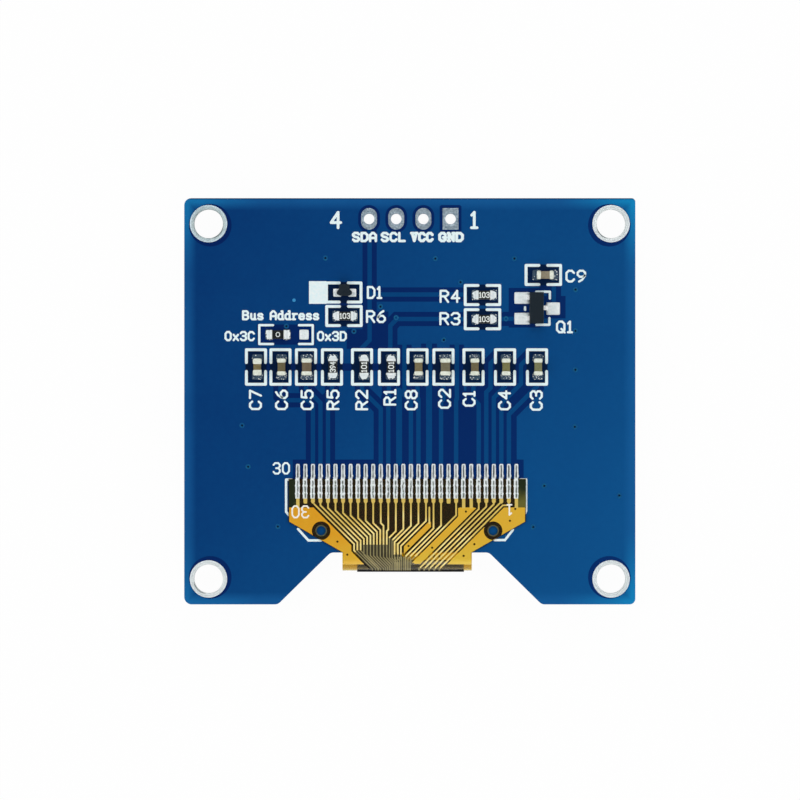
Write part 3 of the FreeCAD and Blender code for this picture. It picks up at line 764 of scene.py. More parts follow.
ROUND_ZERO = [(0, 1.3), (0, 4.7), (1.2, 6), (2.8, 6), (4, 4.7), (4, 1.3), (2.8, 0), (1.2, 0), (0, 1.3)]
LETTERS = {
    "0": (4, [ROUND_ZERO]),
    "1": (2.2, [[(0.1, 4.9), (1.1, 6), (1.1, 0)], [(0, 0), (2.2, 0)]]),
    "2": (4, [[(0, 4.8), (1.1, 6), (2.9, 6), (4, 4.9), (4, 4.0), (0, 0)], [(0, 0), (4, 0)]]),
    "3": (4, [
        [(0, 5), (1, 6), (3, 6), (4, 5), (4, 4.1), (3, 3.1), (1.6, 3.1)],
        [(3, 3.1), (4, 2.1), (4, 1), (3, 0), (1, 0), (0, 1)],
    ]),
    "4": (4, [[(2.9, 0), (2.9, 6)], [(2.9, 6), (0, 2)], [(0, 2), (4, 2)]]),
    "5": (4, [
        [(3.8, 6), (0.5, 6)], [(0.5, 6), (0.2, 3.3)],
        [(0.2, 3.3), (1.3, 3.9), (2.8, 3.9), (4, 2.8), (4, 1.1), (2.8, 0), (1.1, 0), (0, 1)],
    ]),
    "6": (4, [[
        (3.2, 6), (1.6, 5), (0.4, 3.2), (0, 1.8), (0, 1.1), (1.1, 0), (2.9, 0),
        (4, 1.1), (4, 2.3), (2.9, 3.4), (1.4, 3.4), (0.3, 2.6),
    ]]),
    "7": (4, [[(0, 6), (4, 6)], [(4, 6), (1.3, 0)]]),
    "8": (4, [
        [(1.2, 3.2), (0.2, 4), (0.2, 5.1), (1.2, 6), (2.8, 6), (3.8, 5.1), (3.8, 4), (2.8, 3.2), (1.2, 3.2)],
        [(1.2, 3.2), (2.8, 3.2), (4, 2.3), (4, 1), (2.8, 0), (1.2, 0), (0, 1), (0, 2.3), (1.2, 3.2)],
    ]),
    "9": (4, [[
        (0.8, 0), (2.4, 1), (3.6, 2.8), (4, 4.2), (4, 4.9), (2.9, 6), (1.1, 6),
        (0, 4.9), (0, 3.7), (1.1, 2.6), (2.6, 2.6), (3.7, 3.4),
    ]]),
    "A": (4, [[(0, 0), (0, 4.4), (1.5, 6), (2.5, 6), (4, 4.4), (4, 0)], [(0, 2.3), (4, 2.3)]]),
    "B": (4, [
        [(0, 0), (0, 6)], [(0, 6), (2.8, 6), (3.8, 5.1), (3.8, 4.1), (2.8, 3.2)], [(0, 3.2), (2.8, 3.2)],
        [(2.8, 3.2), (4, 2.2), (4, 1), (2.8, 0), (0, 0)],
    ]),
    "C": (4, [[(4, 4.8), (2.9, 6), (1.2, 6), (0, 4.8), (0, 1.2), (1.2, 0), (2.9, 0), (4, 1.2)]]),
    "D": (4, [[(0, 0), (0, 6)], [(0, 6), (2.6, 6), (4, 4.5), (4, 1.5), (2.6, 0), (0, 0)]]),
    "G": (4, [
        [(4, 4.8), (2.9, 6), (1.2, 6), (0, 4.8), (0, 1.2), (1.2, 0), (2.9, 0), (4, 1.2)],
        [(4, 1.0), (4, 2.7)], [(4.4, 2.7), (2.5, 2.7)],
    ]),
    "L": (3.6, [[(0, 6), (0, 0)], [(0, 0), (3.6, 0)]]),
    "N": (4, [
        [(0.5, 0), (0.5, 6)], [(0.5, 6), (3.7, 0)], [(3.7, 0), (3.7, 6)],
        [(-0.1, 0), (1.1, 0)], [(-0.1, 6), (0.5, 6)], [(3.1, 6), (4.3, 6)],
    ]),
    "Q": (4, [ROUND_ZERO, [(2.4, 1.9), (4.1, -0.1)]]),
    "R": (4, [
        [(0, 0), (0, 6)], [(0, 6), (2.8, 6), (4, 5), (4, 4), (2.8, 3), (0, 3)], [(1.9, 3), (4, 0)],
    ]),
    "S": (4, [[
        (4, 5), (3, 6), (1, 6), (0, 5), (0, 4.2), (0.9, 3.3), (3.1, 2.7), (4, 1.8), (4, 1), (3, 0),
        (1, 0), (0, 1),
    ]]),
    "V": (4, [[(0.4, 6), (2, 0)], [(2, 0), (3.6, 6)], [(-0.2, 6), (1.2, 6)], [(2.8, 6), (4.2, 6)]]),
    "d": (3.6, [
        [(3.2, 3.2), (2.4, 4), (1, 4), (0, 3), (0, 1), (1, 0), (2.4, 0), (3.2, 0.8)],
        [(3.2, 6), (3.2, 0)], [(2.5, 6), (3.2, 6)], [(3.2, 0), (3.9, 0)],
    ]),
    "e": (3.6, [[
        (0.2, 2.1), (3.6, 2.1), (3.4, 3.2), (2.5, 4), (1, 4), (0, 3), (0, 1), (1, 0), (2.7, 0), (3.5, 0.7),
    ]]),
    "r": (3.4, [
        [(0.8, 0), (0.8, 4)], [(0.8, 2.6), (1.8, 4), (3.4, 4)], [(0, 0), (1.9, 0)], [(0.1, 4), (0.8, 4)],
    ]),
    "s": (3.6, [[
        (3.4, 3.3), (2.6, 4), (1, 4), (0.2, 3.3), (0.6, 2.4), (3, 1.7), (3.6, 0.8), (2.8, 0),
        (0.9, 0), (0.1, 0.6),
    ]]),
    "u": (3.8, [
        [(0.4, 4), (0.4, 1), (1.2, 0), (2.4, 0), (3.2, 0.8)], [(3.2, 4), (3.2, 0)], [(3.2, 0), (3.9, 0)],
    ]),
    "x": (3.6, [[(0.1, 4), (3.5, 0)], [(0.1, 0), (3.5, 4)]]),
    " ": (2.4, []),
}
LETTER_HEIGHT = 6
LETTER_GAP = 1.9


def letter(layer, text, middle, size, stroke, turn, low, high):
    """Writes text over its middle point; size is its length and height over the strokes."""
    spans = [LETTERS[mark][0] for mark in text]
    units = sum(spans) + LETTER_GAP * (len(text) - 1)
    scale_u = (size[0] - stroke) / units
    scale_v = (size[1] - stroke) / LETTER_HEIGHT
    angle = math.radians(turn)
    cosine, sine = math.cos(angle), math.sin(angle)
    start = -units / 2
    for mark, span in zip(text, spans):
        for points in LETTERS[mark][1]:
            path = []
            for u, v in points:
                across = (start + u) * scale_u
                up = (v - LETTER_HEIGHT / 2) * scale_v
                path.append((
                    middle[0] + across * cosine - up * sine,
                    middle[1] + across * sine + up * cosine,
                ))
            layer.stroke(path, stroke, low, high)
        start += span + LETTER_GAP


# What is printed on the board: text, middle, length and height, stroke
BOARD_LABELS = [
    ("4", (-6.91, 16.96), (1.16, 1.7), 0.26),
    ("1", (6.03, 16.96), (0.78, 1.7), 0.26),
    ("SDA", (-4.24, 15.37), (2.36, 0.98), 0.24),
    ("SCL", (-1.55, 15.37), (2.36, 0.98), 0.24),
    ("VCC", (1.14, 15.37), (2.2, 0.98), 0.27),
    ("GND", (3.86, 15.37), (2.4, 0.98), 0.27),
    ("D1", (-3.3, 10.18), (1.45, 1.22), 0.2),
    ("R6", (-3.17, 7.93), (1.87, 1.22), 0.2),
    ("R4", (3.75, 9.82), (1.94, 1.24), 0.2),
    ("R3", (3.75, 7.73), (1.98, 1.24), 0.2),
    ("C9", (15.53, 11.71), (1.95, 1.2), 0.2),
    ("Q1", (14.47, 6.96), (1.6, 1.2), 0.2),
    ("30", (-12.02, -6.27), (1.62, 1.15), 0.17),
    ("0x3C", (-15.91, 6.1), (2.85, 0.96), 0.19),
    ("0x3D", (-7.29, 6.1), (2.8, 0.96), 0.19),
    ("Bus Address", (-12.08, 8.05), (7.24, 0.95), 0.2),
]
# Labels of the row of chips, which read upwards: text, middle, length
ROW_LABELS = [
    ("C7", (-14.44, 0.14), 1.92), ("C6", (-12.0, 0.14), 1.92), ("C5", (-9.61, 0.14), 1.92),
    ("R5", (-7.19, 0.14), 1.92), ("R2", (-4.5, 0.12), 1.92), ("R1", (-1.87, 0.37), 1.55),
    ("C8", (0.13, 0.12), 1.92), ("C2", (3.25, 0.24), 1.88), ("C1", (5.54, 0.23), 1.47),
    ("C4", (8.85, 0.1), 1.88), ("C3", (11.83, 0.08), 1.92),
]
ROW_LABEL_HEIGHT = 1.22
ROW_LABEL_STROKE = 0.2
ROW_LABEL_TURN = 90

# The outline printed round the flex, as two open lines at each side
FLEX_MARKS = [
    [(-11.07, -7.32), (-11.57, -7.32), (-11.57, -10.33), (-11.32, -10.65)],
    [(-10.46, -11.94), (-9.49, -13.01), (-8.28, -13.01)],
    [(10.36, -7.31), (10.88, -7.31), (10.88, -10.27), (10.78, -10.48)],
    [(9.64, -12.02), (8.9, -12.98), (7.93, -12.98)],
]
TRANSISTOR_MARKS = [
    [(11.84, 10.25), (13.1, 10.25), (13.1, 9.62)],
    [(11.84, 7.16), (13.06, 7.16), (13.06, 7.78)],
    [(10.78, 8.8), (10.78, 8.56)],
]
SELECTOR_MARKS = [
    [(-12.8, 7.12), (-14.08, 7.12), (-14.08, 5.36), (-12.8, 5.36)],
    [(-10.36, 7.12), (-9.08, 7.12), (-9.08, 5.36), (-10.36, 5.36)],
]
DIODE_BLOCK = ((-9.43, 9.12), (-7.8, 11.24))

# Small plated holes that join the board's two sides
VIA_PLACES = [
    (-7.9, 13.4), (2.39, 13.35), (9.79, 13.35), (15.49, 10.45), (15.49, 6.59), (15.49, 2.95),
    (15.44, -2.39), (3.18, 5.74), (9.0, 7.72), (-2.74, 8.86), (-1.28, 7.82), (-11.54, 7.03),
    (12.58, -7.91), (19.59, -8.81), (-12.34, -11.72), (11.54, -11.76), (-15.7, -2.25),
    (-15.13, -6.12), (-5.23, 6.54), (4.75, 11.14),
]

# Tracks under the mask: width, then the line each one follows
TRACK_WIDTH = 0.41
TRACK_CLEAR = 0.46
LAND_TOP_Y = -5.75
FREE_TRACKS = [
    [(-3.8, 16.1), (-3.76, 15.8), (-3.76, 5.72), (-4.47, 5.0), (-4.47, 4.2)],
    [(-3.76, 9.99), (6.0, 9.99)],
    [(6.0, 7.7), (-1.2, 7.7), (-1.82, 7.08), (-1.82, 5.0), (-1.95, 4.3)],
    [(7.6, 7.68), (9.6, 7.72)],
    [(13.47, 11.3), (13.47, 9.0)],
]
# Tracks that end on the flex's lands: contact, then the line down to it
CONTACT_TRACKS = [
    (2, [(-12.1, 2.3), (-12.1, 0.5), (-11.7, 0.1), (-9.5, 0.1), (-9.06, -0.34)]),
    (3, [(-9.71, 2.3), (-9.71, 1.2), (-8.36, -0.15)]),
    (4, [(-7.28, 2.3), (-7.28, 0.55), (-7.65, 0.18)]),
    (11, [(-4.47, 2.3), (-4.47, 1.05), (-2.72, -0.7)]),
    (12, [(-1.95, 2.3), (-1.95, 0.3), (-2.01, 0.24)]),
    (15, [(-0.5, 5.3), (-0.5, 0.6), (0.1, 0.0)]),
    (16, [(0.72, 2.3), (0.72, 0.3), (0.81, 0.2)]),
    (19, [(3.15, 2.3), (3.15, 0.2), (2.92, -0.03)]),
    (21, [(4.4, 5.3), (4.4, 0.2), (4.33, 0.13)]),
    (24, [(5.96, 2.3), (5.96, 0.19), (6.45, -0.3)]),
    (25, [(8.91, 4.2), (8.2, 4.2), (7.55, 3.55), (7.55, 1.25), (7.15, 0.85)]),
    (26, [(8.91, 2.3), (8.91, 1.4), (7.86, 0.35)]),
    (27, [(11.9, 4.2), (11.2, 4.2), (10.4, 3.4), (10.4, 1.64), (8.56, -0.2)]),
    (28, [(11.9, 2.3), (11.9, 1.4), (9.27, -1.23)]),
]
WIDE_TRACKS = [
    [(-1.0, 1.0), (-1.0, LAND_TOP_Y)],
    [(1.8, 5.4), (1.8, LAND_TOP_Y)],
]
WIDE_TRACK_WIDTH = 0.56
# Fields with no copper, as low and high corners
BARE_FIELDS = [
    ((-3.6, 4.9), (-2.0, 8.4)), ((-5.9, 4.9), (-4.2, 6.75)), ((3.15, LAND_TOP_Y), (4.1, 1.2)),
    ((4.62, LAND_TOP_Y), (6.15, 1.0)), ((9.5, LAND_TOP_Y), (10.0, -1.2)),
    ((9.25, 6.9), (12.2, 10.6)), ((12.6, 7.75), (14.57, 9.85)), ((13.7, 9.6), (14.15, 10.6)),
    ((-10.95, -7.3), (10.65, -5.45)), ((-14.3, 5.3), (-8.85, 7.18)),
    ((-14.4, 2.86), (5.8, 3.54)), ((-6.55, 8.0), (-5.8, 10.2)), ((12.12, 10.4), (12.86, 11.8)),
]
CHIP_FIELD = (0.98, 1.7)
# A test spot where the copper shows pale through the mask
BARE_SPOT = (-10.83, 9.46)


Chip = namedtuple("Chip", "middle upright length width base top")


def chip_places():
    """Each chip part by its node stem, as large as its terminals make it."""
    places = {}
    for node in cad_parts:
        if node.endswith("_terminals"):
            low, high = node_box(node)
            across, along = high.x - low.x, high.y - low.y
            size = max(across, along), min(across, along)
            places[node.removesuffix("_terminals")] = Chip(
                (low + high) / 2, along > across, *size, low.z, high.z
            )
    return places


CHIPS = chip_places()

# The diode's box, and one that its chip doesn't stand quite in the middle of
DIODE_BOX = Vector((-6.18, 10.18))
BOX_MIDDLES = {"capacitor_c9": Vector((12.49, 11.82))}
# How far each chip stands to the right of its box's middle
CHIP_SHIFTS = {
    "capacitor_c7": 0.13, "capacitor_c6": 0.1, "capacitor_c5": 0.07, "capacitor_c8": 0.1,
    "capacitor_c2": 0.18, "capacitor_c1": 0.12, "capacitor_c4": 0.09, "capacitor_c3": 0.1,
    "resistor_r5": 0.08, "resistor_r2": 0.19, "resistor_r1": 0.2, "resistor_r6": 0.1,
    "resistor_r4": 0.17, "resistor_r3": 0.17,
}


def box_places():
    """Middle of each printed box, and whether it stands upright."""
    for stem, chip in CHIPS.items():
        if stem != "address_link":
            yield BOX_MIDDLES.get(stem, chip.middle), chip.upright
    yield DIODE_BOX, False


def seat(stem):
    """A chip part where it really stands, a little to the right of its box's middle."""
    chip = CHIPS[stem]
    return chip._replace(middle=chip.middle + Vector((CHIP_SHIFTS.get(stem, 0.0), 0, 0)))


# Sizes and colours that someone would change


def tint(name, description, red, green, blue):
    """A colour setting, whose default is a display colour."""
    return bpy.props.FloatVectorProperty(
        name=name, description=description, subtype="COLOR", default=shade(red, green, blue)
    )


def measure(name, description, default, **limits):
    """A number setting."""
    return bpy.props.FloatProperty(name=name, description=description, default=default, **limits)


class BoardLook(bpy.types.PropertyGroup):
    """Colours and sizes of the board's mask, tracks and print."""

    mask_deep: tint("Mask", "Solder mask over copper", 0, 51, 111)
    # The pale mask colours are painted light: the mask is lit paler to the right and towards the front edge.
    lit_mask: tint("Pale mask", "Mask where it lies thinner", 10, 84, 144)
    mask_rim: tint("Rim", "Mask over bare laminate by the edge", 24, 98, 162)
    # The corner colour is painted light at the rim's corners.
    lit_mask_corner: tint("Corner", "Mask at the rim by the corners", 18, 146, 206)
    mask_lip: tint("Lip", "Mask at the very edge", 0, 38, 78)
    bare_deep: tint("Clearance", "Mask where there is no copper", 0, 32, 92)
    bare_pale: tint("Pale clearance", "The same to the right of the board", 2, 46, 108)
    chip_deep: tint("Chip field", "Mask inside the chips' boxes", 0, 24, 58)
    chip_pale: tint("Pale chip field", "The same to the right of the board", 4, 34, 74)
    track_deep: tint("Track", "Mask over a track", 0, 58, 114)
    track_pale: tint("Pale track", "The same to the right of the board", 6, 76, 134)
    spot_blue: tint("Bare spot", "Thin mask over a test spot", 60, 146, 202)
    laminate_pale: tint("Laminate", "Glass and resin at the edge", 126, 140, 110)
    laminate_dark: tint("Dark laminate", "Resin between the glass layers", 72, 88, 70)
    print_white: tint("Print", "Printed lines and letters", 246, 255, 255)
    print_shadow: tint("Thin print", "Print where the ink is thin", 228, 250, 254)
    via_green: tint("Via ring", "Ring of a small plated hole under the mask", 18, 98, 136)
    mask_gloss: measure("Mask gloss", "How strongly the mask mirrors", 0.15, min=0.0, max=1.0)
    pour_inset: measure("Pour inset", "Bare laminate round the copper, millimetres", 1.15, min=0.0)
    corner_reach: measure("Corner reach", "How far the pale corners reach, millimetres", 7.0, min=0.0)
    print_height: measure("Print height", "Thickness of the ink, millimetres", 0.028, min=0.0)
    box_line: measure("Box line", "Line of the boxes round the chips, millimetres", 0.27, min=0.0)
    box_width: measure("Box width", "Chip box across, over its lines, millimetres", 2.06, min=0.0)
    box_length: measure("Box length", "Chip box along the chip, millimetres", 3.5, min=0.0)
    box_gap: measure("Box gap", "Gap between the two halves of a box, millimetres", 0.56, min=0.0)


class MetalLook(bpy.types.PropertyGroup):
    """Colours of the tinned metal and the solder."""

    tin_bright: tint("Tin", "Bright tin", 252, 255, 255)
    tin_dull: tint("Dull tin", "Tin in the streaks", 226, 239, 241)
    cap_cream: tint("Chip ends", "Tinned ends of the chips", 250, 255, 244)
    cap_shadow: tint("Dull chip ends", "Streaks on the chips' ends", 216, 222, 202)
    pad_grey: tint("Header tin", "Tin on the header's pads", 194, 210, 218)
    pad_shadow: tint("Dull header tin", "Streaks on the header's pads", 98, 122, 144)
    # The rim colour is partly a painted highlight.
    highlit_ring_rim: tint("Ring rim", "Outer rim of a mounting ring", 214, 236, 246)
    ring_band: tint("Ring band", "Inner band of a mounting ring", 196, 214, 212)
    ring_shadow: tint("Ring streaks", "Duller streaks on a mounting ring", 158, 184, 192)
    # This colour paints shade at a hole's mouth and dark arcs at its edge.
    hole_shade_and_arcs: tint("Nick", "Dark nicks at a mounting hole's edge", 50, 66, 70)
    shade_deep: tint("Deep solder", "Steep solder in its shade", 8, 26, 56)
    shade_pale: tint("Shaded solder", "Steep solder, lighter", 60, 96, 118)
    bar_light: tint("Bar", "Bright flanks of the soldered bars", 250, 254, 255)
    bar_shadow: tint("Dull bar", "Duller grain of the soldered bars", 226, 238, 238)
    # The streak colours are painted dark reflections along the bars.
    reflection_streak_upper: tint("Dark streak", "Streak along a bar on the board", 22, 30, 44)
    reflection_streak_lower: tint("Grey streak", "Streak along a bar on the film", 84, 96, 88)
    streak_shift: measure("Streak shift", "How far the streaks lie left of the middle, millimetres", 0.01)


class FlexLook(bpy.types.PropertyGroup):
    """Colours and sizes of the flex tail."""

    film_pale: tint("Film", "Amber film", 224, 198, 64)
    film_deep: tint("Deep film", "Amber film where it is thicker", 212, 178, 40)
    film_brown: tint("Film on the board", "Amber film lying on the blue mask", 214, 150, 44)
    margin_olive: tint("Film margin", "Cloudy film by its ends", 104, 100, 44)
    margin_deep: tint("Deep film margin", "Darker stretches by the film's ends", 30, 40, 20)
    pour_gold: tint("Copper field", "Wide copper under the cover", 232, 197, 60)
    pour_deep: tint("Deep copper field", "Darker drifts of the wide copper", 230, 160, 6)
    trace_cream: tint("Trace", "Fine traces", 255, 240, 160)
    trace_deep: tint("Deep trace", "Darker stretches of the traces", 248, 208, 100)
    trace_upper: tint("Upper trace", "Traces below the contacts", 226, 196, 96)
    covered_grey: tint("Covered trace", "Traces under the grey cover by the fold", 172, 160, 108)
    covered_deep: tint("Deep covered trace", "Darker stretches under the grey cover", 134, 124, 80)
    cover_olive: tint("Grey cover", "The cover between the covered traces", 58, 52, 24)
    cover_deep: tint("Deep grey cover", "Darker stretches of the cover", 38, 32, 10)
    trace_width: measure("Trace width", "Width of a fine trace, millimetres", 0.152, min=0.0)
    trace_height: measure("Trace height", "How far a trace stands up, millimetres", 0.018, min=0.0)


class StageLook(bpy.types.PropertyGroup):
    """Camera, floor and light."""

    frame_width: measure("Frame width", "What the picture shows across, millimetres", 74.84, min=1.0)
    centre_x: measure("Centre X", "Where the camera's axis meets the board, millimetres", -0.917)
    centre_y: measure("Centre Y", "Where the camera's axis meets the board, millimetres", 0.122)
    camera_height: measure(
        "Camera height", "Camera over the board, metres", 0.5, min=0.05, subtype="DISTANCE", unit="LENGTH"
    )
    lamp_power: measure("Lamp power", "Power of each soft lamp, watts", 0.62, min=0.0)
    lamp_distance: measure(
        "Lamp distance", "From the board to each lamp, metres", 0.5,
        min=0.1, subtype="DISTANCE", unit="LENGTH"
    )
    lamp_size: measure(
        "Lamp size", "Side of each soft lamp, metres", 0.3, min=0.01, subtype="DISTANCE", unit="LENGTH"
    )
    zenith: measure("Light from above", "Strength of the world straight above", 0.22, min=0.0)


# The board, its tracks and its print


class OLED_OT_dress_board(bpy.types.Operator):
    """Dresses the board with its mask and its laminate edge."""

    bl_idname = "oled_module.dress_board"
    bl_label = "Dress the board"

    def execute(self, context):
        look = context.scene.oled_board
        board_finish(look).dress(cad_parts["board"])
        return {"FINISHED"}


def all_tracks():
    """Every track as its width and its line."""
    for line in FREE_TRACKS:
        yield TRACK_WIDTH, line
    for contact, line in CONTACT_TRACKS:
        x = contact_x(contact)
        yield TRACK_WIDTH, line[:-1] + [(x, line[-1][1]), (x, LAND_TOP_Y)]
    for line in WIDE_TRACKS:
        yield WIDE_TRACK_WIDTH, line


def rectangle(low, high):
    return [(low[0], low[1]), (high[0], low[1]), (high[0], high[1]), (low[0], high[1])]


class OLED_OT_lay_tracks(bpy.types.Operator):
    """Lays the board's tracks, and the bare gaps that part them from the copper round them."""

    bl_idname = "oled_module.lay_tracks"
    bl_label = "Lay the tracks"

    gap_height = 0.001
    track_height = 0.01
    chip_height = 0.016
    halo = 0.24
    ring_shift = 0.22
    ring_overlap = 0.1
    pad_overlap = 0.05
    spot_radius = 0.16

    def execute(self, context):
        look = context.scene.oled_board
        gaps = Layer(on_board)
        for low, high in BARE_FIELDS:
            gaps.plate(rectangle(low, high), 0.0, self.gap_height)
        for width, line in all_tracks():
            gaps.strip(line, width + 2 * TRACK_CLEAR, 0.0, self.gap_height, rounded=False)
        self.halos(gaps)
        bare = mask_finish("bare_mask", look, look.bare_deep, look.bare_pale)
        gaps.settle("board_clearances", "blue_board", bare, smooth=None)
        fields = Layer(on_board)
        for middle, upright in box_places():
            across, along = CHIP_FIELD if upright else CHIP_FIELD[::-1]
            corner = (middle.x - across, middle.y - along)
            fields.plate(rectangle(corner, (middle.x + across, middle.y + along)), 0.0, self.chip_height)
        dark = mask_finish("chip_field_mask", look, look.chip_deep, look.chip_pale)
        fields.settle("chip_clearances", "blue_board", dark, smooth=None)
        tracks = Layer(on_board)
        for width, line in all_tracks():
            tracks.strip(line, width, 0.0, self.track_height)
        copper = mask_finish("track_mask", look, look.track_deep, look.track_pale)
        tracks.settle("board_tracks", "blue_board", copper)
        spot = Layer(on_board)
        spot.disc(*BARE_SPOT, self.spot_radius, 0.0, self.track_height)
        spot.settle("test_spot", "blue_board", mask_finish("spot_mask", look, look.spot_blue, look.spot_blue))
        return {"FINISHED"}

    def halos(self, gaps):
        """Bare crescents by the mounting rings and bare outlines of the header's pads."""
        levels = [(0.0, 0.0), (0.0, self.gap_height), (1.0, self.gap_height), (1.0, 0.0)]
        for x, y in MOUNT_PLACES:
            inward = Vector((-x, -y)).normalized() * self.ring_shift
            outline = shifted_disc(MOUNT_PAD + self.halo, inward)
            gaps.eyelet(x, y, MOUNT_HOLE + self.ring_overlap, outline, levels)
        for index, (x, y) in enumerate(HEADER_PLACES):
            gaps.eyelet(x, y, HEADER_HOLE + self.pad_overlap, header_outline(index, self.halo), levels)


def chip_box(layer, middle, upright, look, high):
    """The two halves of the box printed round a chip."""
    across = (look.box_width - look.box_line) / 2
    along = (look.box_length - look.box_line) / 2
    start = look.box_gap / 2 + look.box_line / 2
    for side in (-1, 1):
        near, far = start * side, along * side
        half = [(-across, near), (-across, far), (across, far), (across, near)]
        if not upright:
            half = [(v, u) for u, v in half]
        line = [(middle.x + u, middle.y + v) for u, v in half]
        layer.stroke(line, look.box_line, 0.0, high)


class OLED_OT_print_board(bpy.types.Operator):
    """Prints the boxes, marks and labels on the board."""

    bl_idname = "oled_module.print_board"
    bl_label = "Print the board"

    mark_line = 0.22

    def execute(self, context):
        look = context.scene.oled_board
        high = look.print_height
        ink = print_finish(look)
        boxes = Layer(on_board)
        for middle, upright in box_places():
            chip_box(boxes, middle, upright, look, high)
        boxes.plate(rectangle(*DIODE_BLOCK), 0.0, high)
        for line in SELECTOR_MARKS + TRANSISTOR_MARKS + FLEX_MARKS:
            boxes.stroke(line, self.mark_line, 0.0, high)
        boxes.settle("printed_boxes", "blue_board", ink, smooth=None)
        labels = Layer(on_board)
        for text, middle, size, stroke in BOARD_LABELS:
            letter(labels, text, middle, size, stroke, 0, 0.0, high)
        for text, middle, length in ROW_LABELS:
            size = (length, ROW_LABEL_HEIGHT)
            letter(labels, text, middle, size, ROW_LABEL_STROKE, ROW_LABEL_TURN, 0.0, high)
        labels.settle("printed_labels", "blue_board", ink, smooth=None)
        return {"FINISHED"}


class OLED_OT_place_vias(bpy.types.Operator):
    """Places the small plated holes, closed over by the mask."""

    bl_idname = "oled_module.place_vias"
    bl_label = "Place the vias"

    ring_inner = 0.1
    ring_outer = 0.24
    ring_height = 0.02

    def execute(self, context):
        look = context.scene.oled_board
        rings = Layer(on_board)
        wells = Layer(on_board)
        for x, y in VIA_PLACES:
            rings.ring(x, y, self.ring_inner, self.ring_outer, 0.0, self.ring_height)
            wells.disc(x, y, self.ring_inner * 1.05, 0.0, self.ring_height * 0.3)
        tone = plain_finish("via_ring", look.via_green, look.track_pale, 0.3, 4.0, specular_ior_level=0.15)
        rings.settle("via_rings", "blue_board", tone)
        dark = plain_finish("via_well", shade(2, 24, 48), shade(0, 14, 30), 0.35, 4.0, specular_ior_level=0.1)
        wells.settle("via_wells", "blue_board", dark)
        return {"FINISHED"}


# Plated holes

MOUNT_HIGH = node_box("mounting_rings")[1]
MOUNT_PAD = 1.75
MOUNT_HOLE = 1.35
MOUNT_PLACES = [
    (side * (MOUNT_HIGH.x - MOUNT_PAD), end * (MOUNT_HIGH.y - MOUNT_PAD))
    for side in (-1, 1)
    for end in (-1, 1)
]
EYELET_LOW, EYELET_HIGH = node_box("header_eyelets")
HEADER_COUNT = 4
HEADER_HOLE = 0.5
HEADER_PAD = (1.56, 2.1)
HEADER_PITCH = (EYELET_HIGH.x - EYELET_LOW.x - HEADER_PAD[0]) / (HEADER_COUNT - 1)
HEADER_PLACES = [
    (EYELET_LOW.x + HEADER_PAD[0] / 2 + HEADER_PITCH * index, (EYELET_LOW.y + EYELET_HIGH.y) / 2)
    for index in range(HEADER_COUNT)
]
HEADER_TIN_SPREAD = -0.035
PLATING = 0.05
# Skin of a plated hole's upper pad: share of the way out from the hole, share of the rise
EYELET_PROFILE = (
    (1.0, 0.0), (1.0, 0.5), (0.94, 0.85), (0.82, 1.0), (0.6, 0.86), (0.35, 0.8), (0.15, 0.62),
    (0.04, 0.2), (0.0, -0.5),
)


def long_pad(half_width, half_height):
    """Reach of a pad with half-round ends, in the direction (side, front)."""
    straight = half_height - half_width

    def reach(side, front):
        if abs(side) * straight >= abs(front) * half_width:
            return half_width / abs(side)
        along = straight * abs(front)
        return along + math.sqrt(max(along ** 2 - straight ** 2 + half_width ** 2, 0.0))

    return reach


def square_pad(half_width, half_height):
    return lambda side, front: min(half_width / max(abs(side), 1e-6), half_height / max(abs(front), 1e-6))


def shifted_disc(radius, shift):
    """Reach of a disc whose middle is moved by shift."""

    def reach(side, front):
        along = shift.x * side + shift.y * front
        return along + math.sqrt(along ** 2 + radius ** 2 - shift.length_squared)

    return reach


def header_outline(index, spread):
    """A header pad's outline, grown by spread: long pads, and a square one at pin 1."""
    shape = square_pad if index == HEADER_COUNT - 1 else long_pad
    return shape(HEADER_PAD[0] / 2 + spread, HEADER_PAD[1] / 2 + spread)


def eyelet_levels(hole, reach, rise):
    """Heights of a plated hole's skin, from the rim of the upper pad to the lower one and back."""
    depth = BOARD_TOP - BOARD_BASE
    barrel = PLATING / (reach - hole)
    upper = [(share, rise * height) for share, height in EYELET_PROFILE]
    lower = [(share, -depth - height) for share, height in reversed(upper)]
    return upper + lower + [(barrel, -depth), (barrel, 0.0)]


class OLED_OT_plate_holes(bpy.types.Operator):
    """Forms the tinned eyelets of the header and the mounting holes."""

    bl_idname = "oled_module.plate_holes"
    bl_label = "Plate the holes"

    ring_rise = 0.07
    pad_rise = 0.08

    def execute(self, context):
        metal = context.scene.oled_metal
        rings = Layer(on_board)
        levels = eyelet_levels(MOUNT_HOLE, MOUNT_PAD, LAND_RISE + self.ring_rise)
        for x, y in MOUNT_PLACES:
            rings.eyelet(x, y, MOUNT_HOLE, lambda side, front: MOUNT_PAD, levels, 96)
        rings.settle("mounting_tin", "tinned_rings", ring_finish(metal), "mounting_rings", smooth=60)
        eyelets = Layer(on_board)
        levels = eyelet_levels(HEADER_HOLE, HEADER_PAD[0] / 2, LAND_RISE + self.pad_rise)
        for index, (x, y) in enumerate(HEADER_PLACES):
            eyelets.eyelet(x, y, HEADER_HOLE, header_outline(index, HEADER_TIN_SPREAD), levels, 64)
        tin = solder_finish("eyelet_tin", metal.pad_shadow, metal.pad_grey, 0.36, 0.03, 0.45)
        eyelets.settle("header_tin", "tinned_eyelets", tin, "header_eyelets", smooth=60)
        return {"FINISHED"}


# Chip parts


def turned(piece, chip):
    """Turns a piece of a chip modelled along X at the origin and moves it to the chip's place."""
    spin = Matrix.Rotation(math.radians(90 if chip.upright else 0), 4, "Z")
    piece.data.transform(Matrix.Translation((chip.middle.x, chip.middle.y, 0)) @ spin)
    return piece


def centred(half_length, half_width, low, high, rounding, segments):
    """A rounded block whose middle stands over the origin, between two heights."""
    return block((-half_length, -half_width, low), (half_length, half_width, high), rounding, segments)


